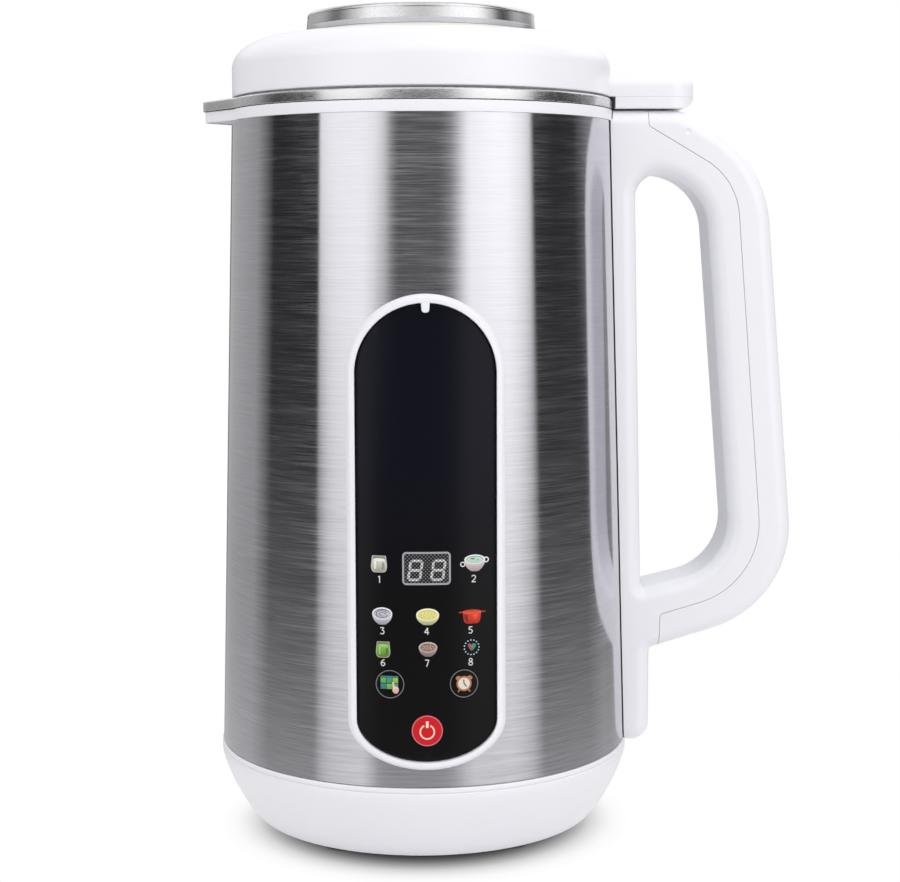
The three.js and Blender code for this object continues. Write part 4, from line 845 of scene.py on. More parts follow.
def make_feet():
    """Four rubber feet with grooved soles."""
    for side in ("front_left", "front_right", "rear_left", "rear_right"):
        first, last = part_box("foot_" + side)
        centre = (first + last) / 2
        radius, height = (last.x - first.x) / 2, last.z - first.z
        points = [(0, 0)]
        for k in range(FOOT_GROOVES):
            middle = radius * (k + 1) / (FOOT_GROOVES + 1)
            points += [(middle - FOOT_GROOVE_HALF, 0), (middle, FOOT_GROOVE_DEPTH),
                       (middle + FOOT_GROOVE_HALF, 0)]
        points += [(radius - FOOT_EDGE, 0), (radius - 0.3 * FOOT_EDGE, 0.3 * FOOT_EDGE), (radius, FOOT_EDGE),
                   (radius, height), (0, height)]
        rubber = spun(points, SMALL_STEPS, closed=False)
        bmesh.ops.translate(rubber, vec=(centre.x, centre.y, first.z), verts=rubber.verts)
        piece("rubber_" + side, rubber, "foot rubber", "body", "foot_" + side)


# Shell, collar and pot

SHELL_ROWS = 26
WINDOW_SPARE = 1.5 * MM
PANEL_STEPS = 60
PANEL_ROWS = 30
# How much less the frame's inner edge lies inside its outer one at the panel's bottom
BOTTOM_THINNING = 0.14
INLET_LIP = 2 * MM
INLET_CORNER = 3 * MM
COLLAR_WALL = 2 * MM
COLLAR_START = 0.2 * MM
POT_HOLE = 9 * MM


def panel_outline(sizes, inset=0.0):
    """The panel's opening seen straight on: a half ellipse, two straight sides and a half circle."""
    half, fall = sizes.half_width, sizes.lower_height
    lower, upper = sizes.bottom + fall, sizes.top - half
    right = [Vector((half - inset, lower + (upper - lower) * k / PANEL_ROWS)) for k in range(1, PANEL_ROWS)]
    ellipse, circle = [], []
    for k in range(PANEL_STEPS + 1):
        t = math.pi * (1 + k / PANEL_STEPS)
        out = Vector((fall * math.cos(t), half * math.sin(t))).normalized()
        step = inset * (1 - BOTTOM_THINNING * out.y ** 2)
        ellipse.append(Vector((half * math.cos(t), lower + fall * math.sin(t))) - out * step)
        t = math.pi * k / PANEL_STEPS
        circle.append(Vector((0, upper)) + Vector((math.cos(t), math.sin(t))) * (half - inset))
    left = [Vector((-p.x, p.y)) for p in reversed(right)]
    return ellipse + right + circle + left


def make_shell(sizes, panel):
    """The brushed steel shell, open for the panel and the power inlet."""
    heights = [SHELL_BOTTOM + (SHELL_TOP - SHELL_BOTTOM) * k / SHELL_ROWS for k in range(SHELL_ROWS + 1)]
    outside = [(shell_radius(z), z) for z in heights]
    inside = [(radius - sizes.shell_wall, z) for radius, z in reversed(outside)]
    beyond = 1.1 * BASE_RADIUS
    window = prism(panel_outline(panel, -WINDOW_SPARE), -beyond, 0)
    shell = combined(spun(outside + inside), window, "DIFFERENCE")
    first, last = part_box("power_inlet")
    edge = INLET_LIP - sizes.gap
    corners = block_corners(edge - last.x, last.x - edge, first.z + edge, last.z - edge, INLET_CORNER)
    shell = combined(shell, prism(rounded_path(corners), 0, beyond), "DIFFERENCE")
    piece("steel_shell", shell, "brushed steel", "body", "outer_shell")


def lip_radius(angle, sizes, setback=0.0):
    """How far the rim's plan reaches at an angle about Z. The lip points to -X: from its round
    tip two straight sides run back and meet the round rim in a hollow."""
    away = abs(math.remainder(angle - math.pi, 2 * math.pi))
    root = Vector((math.sqrt(RIM_RADIUS ** 2 - sizes.lip_half ** 2), sizes.lip_half))
    centre = Vector((sizes.lip_reach - sizes.lip_tip, 0))
    spoke = root - centre
    facing = math.atan2(spoke.y, spoke.x) - math.acos(sizes.lip_tip / spoke.length)
    normal = Vector((math.cos(facing), math.sin(facing)))
    tip = sizes.lip_tip - setback
    tangent = centre + normal * tip
    if away > facing:
        return RIM_RADIUS
    if away > math.atan2(tangent.y, tangent.x):
        reach = tangent.dot(normal) / math.cos(facing - away)
    else:
        reach = centre.x * math.cos(away) + math.sqrt(tip ** 2 - (centre.x * math.sin(away)) ** 2)
    return smoothly(RIM_RADIUS, reach, sizes.lip_blend)


def smoothly(first, second, blend):
    """The larger of two numbers, with a soft passage from one to the other."""
    share = max(0.0, 1 - abs(first - second) / blend)
    return max(first, second) + blend * share ** 3 / 6


def pull_lip(bm, sizes, inner, setback=0.0, dip=0.0):
    """Draws the round rim out into the lip, more the further out a point lies."""
    longest = lip_radius(math.pi, sizes) - RIM_RADIUS
    for vert in bm.verts:
        radius = Vector(vert.co.xy).length
        if radius <= inner:
            continue
        share = min(1.0, (radius - inner) / (RIM_RADIUS - MM - inner))
        extra = lip_radius(math.atan2(vert.co.y, vert.co.x), sizes, setback) - RIM_RADIUS
        grown = (radius + extra * share) / radius
        vert.co.x *= grown
        vert.co.y *= grown
        vert.co.z -= dip * share * extra / longest


def make_collar(sizes):
    """The white collar under the rim, with its small beak."""
    foot, bottom, top = low("collar").z, COLLAR_TOP - sizes.collar_height, COLLAR_TOP
    shell_end = shell_radius(SHELL_TOP)
    skirt, inner = shell_end - sizes.shell_wall - sizes.gap, sizes.pot_radius + sizes.gap
    start, drip = shell_end + COLLAR_START, bottom - sizes.collar_drip
    collar = spun(profile([
        (skirt - COLLAR_WALL, foot, 0), (skirt, foot, 0), (skirt, bottom, 0), (start, bottom, 0),
        (start, drip, 0.05 * MM), (RIM_RADIUS, drip, 0.12 * MM), (RIM_RADIUS, top, 0.3 * MM),
        (inner, top, 0), (inner, bottom, 0), (skirt - COLLAR_WALL, bottom, 0)]), LIP_STEPS)
    pull_lip(collar, sizes, skirt + SLIVER, sizes.lip_setback)
    piece("white_collar", collar, "white plastic", "body", "collar")


def make_pot(sizes):
    """The stainless pot with its rolled rim and pouring lip."""
    wall, outer, rim = sizes.pot_wall, sizes.pot_radius, RIM_RADIUS
    top, bottom = RIM_TOP, RIM_TOP - sizes.rim_height
    pot = spun(profile([
        (POT_HOLE, POT_BOTTOM, 0), (outer, POT_BOTTOM, 10 * MM), (outer, top - wall, 0.6 * MM),
        (rim - wall, top - wall, 0.4 * MM), (rim - wall, bottom, 0.1 * MM), (rim, bottom, 0.15 * MM),
        (rim, top, 0.7 * MM), (outer - wall, top, 2.2 * MM), (outer - wall, POT_BOTTOM + wall, 9.2 * MM),
        (POT_HOLE, POT_BOTTOM + wall, 0)]), LIP_STEPS)
    pull_lip(pot, sizes, outer, 0, sizes.lip_dip)
    piece("steel_pot", pot, "rim steel", "body", "inner_pot")


# Lid

CAP_LIFT = 0.5 * MM
CAP_SEAT = 1.1 * MM
CAP_WALL = 0.8 * MM
LID_EDGE = 0.5 * MM
CROWN_WIDTH = 3 * MM
CROWN_FALL = 0.06 * MM
CEILING_DROP = 3 * MM
TAB_SEAM = 0.06 * MM
TAB_SIDE_EDGE = 0.5 * MM
TAB_OVERLAP = 8 * MM


def crown_height(sizes):
    """Where the lid meets the ring under its cap."""
    return CAP_BOTTOM + CAP_LIFT - sizes.ring_height


def shoulder(sizes, setback=0.0):
    """The lid's rounded shoulder, from its upright wall in towards the cap."""
    points = []
    for k in range(CURVE_STEPS + 1):
        t = math.pi / 2 * k / CURVE_STEPS
        points.append((LID_RADIUS - setback - sizes.shoulder_width * (1 - math.cos(t)),
                       LID_BOTTOM + sizes.wall_height - setback + sizes.shoulder_height * math.sin(t)))
    return points


def make_lid(sizes):
    """The white lid with the upper half of its tab."""
    bottom, radius, wall, crown = LID_BOTTOM, LID_RADIUS, sizes.wall, crown_height(sizes)
    seat, seat_top = CAP_RADIUS - CAP_SEAT, CAP_TOP - CAP_SEAT
    outside = [(radius - inset, bottom + drop) for inset, drop in quarter(LID_EDGE)] + shoulder(sizes)
    outside += [(CAP_RADIUS + CROWN_WIDTH, crown - CROWN_FALL), (CAP_RADIUS, crown), (seat, crown),
                (seat, seat_top - CAP_WALL), (seat - CAP_WALL, seat_top), (0, seat_top)]
    inside = [(radius - wall, bottom)] + shoulder(sizes, wall)
    inside += [(seat - wall, crown - CEILING_DROP), (0, crown - CEILING_DROP)]
    dome = spun(outside[::-1] + inside, closed=False)
    bmesh.ops.holes_fill(dome, edges=[e for e in dome.edges if e.is_boundary], sides=0)
    tab = tab_body(sizes, radius - wall - LID_EDGE, bottom + 2 * SLIVER, bottom + sizes.tab_height, TAB_SEAM,
                   sizes.tab_edge)
    tab = combined(tab, drum(radius - wall / 2, bottom - wall, bottom + sizes.wall_height), "DIFFERENCE")
    weighted(piece("lid_shell", merged(dome, tab), "white plastic", "lid", "lid_dome"))


def make_tab_underside(sizes, body):
    """The lower half of the tab, which ends round and stops short of the rim."""
    bottom, top, wall = TAB_BASE_BOTTOM, LID_BOTTOM - SLIVER, sizes.wall
    base = tab_body(sizes, RIM_RADIUS - TAB_OVERLAP, bottom, top, TAB_SIDE_EDGE, TAB_SEAM)
    foot, over = bottom + SLIVER, top + 2 * wall
    end_on = rounded_path([(RIM_RADIUS, foot, 0), (TAB_REACH, foot, sizes.tab_end), (TAB_REACH, over, 0),
                           (RIM_RADIUS, over, 0)])
    base = combined(base, prism(end_on, -2 * TAB_HALF, 2 * TAB_HALF), "INTERSECT")
    base = combined(base, drum(RIM_RADIUS + body.gap, bottom - wall, top + wall), "DIFFERENCE")
    weighted(piece("tab_underside", base, "white plastic", "lid", "tab_base"))


def make_cap_ring(sizes):
    """The pale ring under the cap."""
    bottom, top, inner = crown_height(sizes), CAP_BOTTOM + CAP_LIFT - CROWN_FALL, CAP_RADIUS - CROWN_WIDTH
    ring = profile([(inner, bottom, 0), (CAP_RADIUS - 0.05 * MM, bottom - 0.1 * MM, 0),
                    (CAP_RADIUS - 0.1 * MM, top, 0.2 * MM), (inner, top, 0)])
    piece("cap_ring", spun(ring), "cap ring", "lid")


def make_cap(sizes):
    """The metal disc on the lid: a rounded bead on top, a leaning side and a drawn-in foot."""
    def at(inset, height, rise=0.0):
        return CAP_RADIUS - inset * MM, height + rise * MM

    bead, lean = sizes.cap_bead, sizes.cap_lean / MM
    bottom, neck = CAP_BOTTOM + CAP_LIFT, CAP_TOP - bead
    waist, inner, inside_top = bottom + sizes.cap_foot, CAP_RADIUS - bead - CAP_WALL, CAP_TOP - CAP_WALL
    points = [(0, inside_top), (inner, inside_top), (inner, bottom), at(0.6, bottom), at(0.4, bottom, 0.14),
              at(0.06, waist), at(0, waist, 0.12)]
    start, end = Vector(at(0.02, waist, 0.3)), Vector(at(lean, neck, -0.16))
    points += [start.lerp(end, k / CORNER_STEPS) for k in range(CORNER_STEPS + 1)]
    points += [at(lean - 0.02, neck, -0.1), at(lean - 0.06, neck, -0.01)]
    edge = at(0.28, neck)[0]
    points += [(edge - inset, CAP_TOP - drop) for inset, drop in reversed(quarter(bead, PLAN_STEPS))]
    points += [at(4, CAP_TOP), (0, CAP_TOP)]
    piece("metal_cap", spun(points, closed=False), "cap steel", "lid", "lid_cap")


def tab_body(sizes, root, bottom, top, lower_edge, upper_edge):
    """One half of the tab: a block with round corners in plan and rounded lower and upper edges."""
    corners = [(root, -TAB_HALF, 0), (TAB_REACH, -TAB_HALF, sizes.tab_corner),
               (TAB_REACH, TAB_HALF, sizes.tab_corner), (root, TAB_HALF, 0)]
    levels = [(inset, bottom + drop) for inset, drop in quarter(lower_edge, LONG_EDGE_STEPS)]
    levels += [(inset, top - drop) for inset, drop in reversed(quarter(upper_edge, LONG_EDGE_STEPS))]
    rings = []
    for inset, z in levels:
        outline = rounded_path(corners, inset, PLAN_STEPS)
        rings.append([Vector((x if x > root + inset + MM else root, y, z)) for x, y in outline])
    return lofted(rings)


# Under the lid

LINING_WALL = 1.8 * MM
RIB_HEIGHT = 1.1 * MM
LINING_VENTS = 6
LINING_VENT_RADIUS = 1.8 * MM
VENT_CIRCLE = 34 * MM
PROBE_RADIUS = 1.6 * MM
PROBE_HEAD_RADIUS = 3.4 * MM
PROBE_HEAD = 2 * MM
PLUG_FLANGE = 1.6 * MM
PLUG_MARGIN = 0.4 * MM
PIN_LENGTH = 4 * MM
PIN_SPACING = 4 * MM
PIN_RADIUS = 0.7 * MM


def lining_radius(body):
    """The radius of the lining's skirt, behind the seal."""
    return body.pot_radius - body.pot_wall - LINING_WALL


def make_lining(body):
    """The cover inside the lid, grooved for its seal and pierced by vents."""
    first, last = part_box("lid_inner_cover")
    wall, skirt = LINING_WALL, lining_radius(body)
    rib, flange = skirt + RIB_HEIGHT, RIM_TOP + body.gap
    groove_low, groove_high = low("lid_seal").z - body.gap, high("lid_seal").z + body.gap
    lining = spun(profile([
        (0, first.z, 0), (rib, first.z, 0.5 * MM), (rib, groove_low, 0.2 * MM), (skirt, groove_low, 0),
        (skirt, groove_high, 0), (rib, groove_high, 0.2 * MM), (rib, groove_high + wall, 0.4 * MM),
        (skirt, groove_high + wall, 0.3 * MM), (skirt, flange, 0.3 * MM), (last.x, flange, 0.3 * MM),
        (last.x, last.z, 0.3 * MM), (skirt - wall, last.z, 0), (skirt - wall, first.z + wall, 0),
        (0, first.z + wall, 0)], 3))
    for k in range(LINING_VENTS):
        turn = 2 * math.pi * k / LINING_VENTS
        x, y = VENT_CIRCLE * math.cos(turn), VENT_CIRCLE * math.sin(turn)
        vent = rod_shape((x, y, first.z - wall), (x, y, first.z + 2 * wall), LINING_VENT_RADIUS, 32)
        lining = combined(lining, vent, "DIFFERENCE")
    piece("lid_lining", lining, "white satin", "lid", "lid_inner_cover")


def make_seal(body):
    """The silicone seal round the lining, with two soft lips."""
    inner, outer = lining_radius(body) + body.gap, high("lid_seal").y
    bottom, top = low("lid_seal").z, high("lid_seal").z
    seal = profile([
        (inner, bottom, 0), (outer - 0.5 * MM, bottom, 0.3 * MM), (outer, bottom + 1.2 * MM, 0.4 * MM),
        (outer - 0.7 * MM, bottom + 2.5 * MM, 0.3 * MM), (outer, top - 1.2 * MM, 0.4 * MM),
        (outer - 0.5 * MM, top, 0.3 * MM), (inner, top, 0)], 3)
    piece("silicone_seal", spun(seal), "seal silicone", "lid", "lid_seal")


def make_probe():
    """The pin that feels the drink rise."""
    first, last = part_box("overflow_probe")
    head = last.z - PROBE_HEAD
    probe = spun([
        (0, first.z), (PROBE_RADIUS - 0.6 * MM, first.z + 0.2 * MM), (PROBE_RADIUS, first.z + MM),
        (PROBE_RADIUS, head), (PROBE_HEAD_RADIUS, head), (PROBE_HEAD_RADIUS, last.z - 0.4 * MM),
        (PROBE_HEAD_RADIUS - 0.4 * MM, last.z), (0, last.z)], SMALL_STEPS, closed=False)
    bmesh.ops.translate(probe, vec=((first.x + last.x) / 2, 0, 0), verts=probe.verts)
    piece("level_probe", probe, "pot steel", "lid", "overflow_probe")


def make_plug():
    """The coupler's plug under the tab, with its three pins."""
    first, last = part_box("coupler_plug")
    margin = Vector((PLUG_MARGIN, PLUG_MARGIN, 0))
    plug = box_shape(first + margin + Vector((0, 0, 2 * PLUG_FLANGE)), last - margin, 0.5 * MM)
    flange = box_shape(Vector((first.x, first.y, last.z - PLUG_FLANGE)), last, 0.4 * MM)
    piece("plug_body", merged(plug, flange), "dark plastic", "lid", "coupler_plug")
    x, z = (first.x + last.x) / 2, first.z
    pins = merged(*(
        rod_shape((x, y, z), (x, y, z + PIN_LENGTH), PIN_RADIUS, 20) for y in (-PIN_SPACING, 0, PIN_SPACING)))
    piece("plug_pins", pins, "bolt steel", "lid")


# Handle. Its outlines are corners in X and Z with their radii, seen from the front.

TRUNK_INSIDE = 54 * MM
DIMPLE_RADIUS = 1.6 * MM
DIMPLE_SET_OUT = 1.2 * MM
DIMPLE_X = 88 * MM
DIMPLE_Z = 231.8 * MM
SOCKET_HEADROOM = 5 * MM
CORE_HEADROOM = 9 * MM


def handle_corners(sizes):
    """The handle's outline. Its left side runs inside the body, which trims it."""
    foot, top = SHELL_BOTTOM - 1.8 * MM, HANDLE_TOP + sizes.top_rise
    return [(TRUNK_INSIDE, foot, 0), (sizes.strip_reach, foot, 6 * MM),
            (sizes.strip_reach, SHELL_BOTTOM + 30.2 * MM, 1.5 * MM),
            (sizes.arm_reach, SHELL_BOTTOM + 45.5 * MM, 36.4 * MM),
            (sizes.shoulder_reach, HANDLE_TOP - 16.4 * MM, 39.7 * MM),
            (sizes.top_reach, top, 12 * MM), (TRUNK_INSIDE, top, 0)]


def hole_corners():
    """The finger hole."""
    return [(73.9 * MM, SHELL_BOTTOM + 50.9 * MM, 1.2 * MM), (104.7 * MM, SHELL_BOTTOM + 58.3 * MM, 20 * MM),
            (94.3 * MM, HANDLE_TOP - 22.9 * MM, 19 * MM), (70.9 * MM, HANDLE_TOP - 19.6 * MM, 7.5 * MM)]


def seam_corners():
    """The region outside the seam, which the outer half fills."""
    bottom, top, beyond = SHELL_BOTTOM, HANDLE_TOP, 140 * MM
    return [(78.9 * MM, bottom, 0), (beyond, bottom, 0), (beyond, top + 5 * MM, 0),
            (74.9 * MM, top + 5 * MM, 0), (74.9 * MM, top - 4.8 * MM, 1.2 * MM),
            (104.4 * MM, top - 22.3 * MM, 23 * MM), (115.3 * MM, bottom + 52.8 * MM, 28 * MM),
            (80.2 * MM, bottom + 42.6 * MM, 1.2 * MM)]


def loop_body(sizes):
    """The whole handle with rounded edges, before it is trimmed and split."""
    rounding = quarter(sizes.edge, LONG_EDGE_STEPS)
    levels = [(inset, drop - HANDLE_HALF) for inset, drop in rounding]
    levels += [(inset, HANDLE_HALF - drop) for inset, drop in reversed(rounding)]
    bm = bmesh.new()
    ends = [[], []]
    for corners, sign in ((handle_corners(sizes), 1), (hole_corners(), -1)):
        loops = [
            ring_edges(bm, [Vector((x, y, z)) for x, z in rounded_path(corners, sign * inset, OUTLINE_STEPS)])
            for inset, y in levels]
        for first, second in zip(loops, loops[1:]):
            bmesh.ops.bridge_loops(bm, edges=first + second)
        ends[0] += loops[0]
        ends[1] += loops[-1]
    for edges in ends:
        bmesh.ops.triangle_fill(bm, use_beauty=True, edges=edges)
    bmesh.ops.recalc_face_normals(bm, faces=bm.faces)
    return bm


def make_handle(sizes, body):
    """The two halves of the handle, split along their seam and trimmed to the body."""
    gap, half_seam, reach = body.gap, sizes.seam_gap / 2, 2 * HANDLE_HALF
    core_top = HANDLE_TOP + CORE_HEADROOM
    core = spun([
        (0, 0), (BASE_RADIUS + gap, 0), (BASE_RADIUS + gap, SHELL_BOTTOM), (SHELL_RADIUS + gap, SHELL_BOTTOM),
        (shell_radius(SHELL_TOP) + gap, SHELL_TOP + gap), (RIM_RADIUS + gap, SHELL_TOP + gap),
        (RIM_RADIUS + gap, core_top), (0, core_top)], closed=False)
    first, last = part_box("coupler_socket")
    pocket = box_shape(first - Vector((gap, gap, gap)), last + Vector((gap, gap, SOCKET_HEADROOM)))
    dimple = bmesh.new()
    dimple_place = Matrix.Translation((DIMPLE_X, -HANDLE_HALF - DIMPLE_SET_OUT, DIMPLE_Z))
    bmesh.ops.create_uvsphere(
        dimple, u_segments=32, v_segments=16, radius=DIMPLE_RADIUS, matrix=dimple_place)
    whole = loop_body(sizes)
    for cutter in (core, pocket, dimple):
        whole = combined(whole, cutter, "DIFFERENCE")
    outer = prism(rounded_path(seam_corners(), half_seam, OUTLINE_STEPS), -reach, reach)
    inner = prism(rounded_path(seam_corners(), -half_seam, OUTLINE_STEPS), -reach, reach)
    shell = combined(whole.copy(), outer, "INTERSECT")
    trunk = combined(whole, inner, "DIFFERENCE")
    weighted(piece("handle_trunk", trunk, "white plastic", "body", "handle_inner"))
    weighted(piece("handle_shell", shell, "white plastic", "body", "handle_cover"))


# Control panel

def sliced(bm, step):
    """Cuts a flat shape into narrow strips, so that it can follow the shell's curve."""
    for axis in (0, 1):
        low_end = min(vert.co[axis] for vert in bm.verts)
        high_end = max(vert.co[axis] for vert in bm.verts)
        cuts = int((high_end - low_end) / step)
        for k in range(1, cuts):
            place, normal = Vector((0, 0, 0)), Vector((0, 0, 0))
            place[axis], normal[axis] = low_end + (high_end - low_end) * k / cuts, 1
            geometry = bm.verts[:] + bm.edges[:] + bm.faces[:]
            bmesh.ops.bisect_plane(bm, geom=geometry, dist=MERGE, plane_co=place, plane_no=normal)
        step *= 2
    return bm


NOTCH_HALF = 1.35 * MM
NOTCH_FALL = 3.0 * MM
NOTCH_NARROWING = 0.86
NOTCH_FLARE = 0.5 * MM
PANEL_FIT = 0.12 * MM
COVER_ROUND = 0.4 * MM
COVER_STRIP = 1.8 * MM


def notch_corners(sizes):
    """The small notch at the panel's top, with its flared mouth."""
    mouth, foot, flare = sizes.top + MM, sizes.top - NOTCH_FALL, sizes.top - NOTCH_FLARE / 2
    waist, wide = NOTCH_HALF * NOTCH_NARROWING, NOTCH_HALF + NOTCH_FLARE
    return [(-waist, foot, 1.0 * MM), (waist, foot, 1.0 * MM), (NOTCH_HALF, flare, 0.3 * MM),
            (wide, mouth, 0), (-wide, mouth, 0), (-NOTCH_HALF, flare, 0.3 * MM)]


def sheet_shape(levels, outline):
    """A flat sheet drawn in X and Y: at each level, given as (inset, height), it has an outline."""
    return lofted([[Vector((*p, height)) for p in outline(inset)] for inset, height in levels])


def cover_shape(sizes, gap):
    """The black cover: a sheet with a rounded edge, holes for the keys and the notch, laid on the
    shell."""
    levels = [(gap + inset, -drop) for inset, drop in quarter(COVER_ROUND, 4)]
    levels.append((gap, -sizes.cover_thickness))
    cover = sheet_shape(levels, lambda inset: panel_outline(sizes, inset))
    through = -2 * sizes.cover_thickness
    for key in key_places(sizes):
        hole = rod_shape((key.x, key.z, through), (key.x, key.z, MM), key.radius + PANEL_FIT, 64)
        cover = combined(cover, hole, "DIFFERENCE")
    slot = sheet_shape(
        ((-PANEL_FIT, through), (-PANEL_FIT, MM)), lambda inset: rounded_path(notch_corners(sizes), inset, 8))
    cover = combined(cover, slot, "DIFFERENCE")
    return laid_on_shell(sliced(cover, COVER_STRIP), 0, 0, sizes.cover_proud)


Key = namedtuple("Key", "name node body x z radius")


def key_places(sizes):
    """Every key's name, node, body, place and radius."""
    keys = []
    for name, function, radius in (
            ("left_key", "function", sizes.key_radius), ("right_key", "timer", sizes.key_radius),
            ("start_key", "power", sizes.power_radius)):
        node = function + "_key"
        middle = (low(node) + high(node)) / 2
        keys.append(Key(name, node, function + "_button", middle.x, middle.z, radius))
    return keys


FRAME_SECTION_INSET = 1.2 * MM
FRAME_LIFT = -0.15 * MM
FRAME_ROUND = 0.5 * MM
NOTCH_SINK = 0.1 * MM
NOTCH_DEPTH = 1.9 * MM
KEY_EDGE = 0.12 * MM
KEY_TRAVEL = 0.5 * MM
STEM_RADIUS = 2 * MM
STEM_GAP = 0.1 * MM


def make_frame(sizes):
    """The white frame round the panel, with the notch that hangs from it."""
    band, proud, deep = sizes.band, sizes.frame_proud, -sizes.cover_thickness
    section = [(-band, FRAME_LIFT, 0), (-FRAME_SECTION_INSET, FRAME_LIFT, 0), (-FRAME_SECTION_INSET, deep, 0),
               (0, deep, 0), (0, proud, FRAME_ROUND), (-band * 0.62, proud, 0.8 * MM),
               (-band, proud * 0.45, FRAME_ROUND)]
    rings = [[on_shell(x, z, out) for x, z in panel_outline(sizes, inset)] for inset, out in profile(section)]
    levels = [(0, -NOTCH_DEPTH)]
    levels += [(inset, proud - NOTCH_SINK - drop) for inset, drop in reversed(quarter(FRAME_ROUND, 4))]
    notch = lofted([
        [on_shell(x, z, out) for x, z in rounded_path(notch_corners(sizes), inset, 8)]
        for inset, out in levels])
    ring = merged(lofted(rings, around=True), notch)
    piece("panel_frame_ring", ring, "white plastic", "body", "panel_frame")


def make_key(sizes, key):
    """A key: a flat cap with a fine edge, and a stem that stops short of its switch at full press."""
    face, radius, back = on_shell(key.x, key.z, sizes.key_proud), key.radius, -sizes.cover_thickness
    switch_front = low(key.node.replace("key", "switch")).y
    stem_end = face.y - switch_front + KEY_TRAVEL + STEM_GAP + STEM_RADIUS * abs(key.x / face.y)
    points = [(0, 0), (radius / 3, 0), (radius * 2 / 3, 0)]
    points += [(radius - inset, -drop) for inset, drop in quarter(KEY_EDGE, 4)]
    points += [(radius, back), (STEM_RADIUS, back), (STEM_RADIUS, stem_end), (0, stem_end)]
    shape = laid_on_shell(spun(points, 64, closed=False), key.x, key.z, sizes.key_proud)
    piece(key.name, shape, "red key" if key.node == "power_key" else "panel black", key.body, key.node)


def make_panel(sizes, body):
    """The black cover, its white frame and the keys."""
    piece("panel_sheet", cover_shape(sizes, body.gap), "panel black", "body", "panel_cover")
    make_frame(sizes)
    for key in key_places(sizes):
        make_key(sizes, key)


# Print on the panel

PRINT_LIFT = 0.02 * MM
PRINT_LAYER = 0.004 * MM
PRINT_STEP = 0.8 * MM
PRINT_SKIRT = 0.03 * MM
DIGIT_LIFT = 0.03 * MM
GOLDEN_ANGLE = math.pi * (3 - math.sqrt(5))
RING_DOTS = 15


def dye(red, green, blue):
    """A printing colour given as it looks, from 0 to 255."""
    return tuple((c / 255) ** 2.2 for c in (red, green, blue))


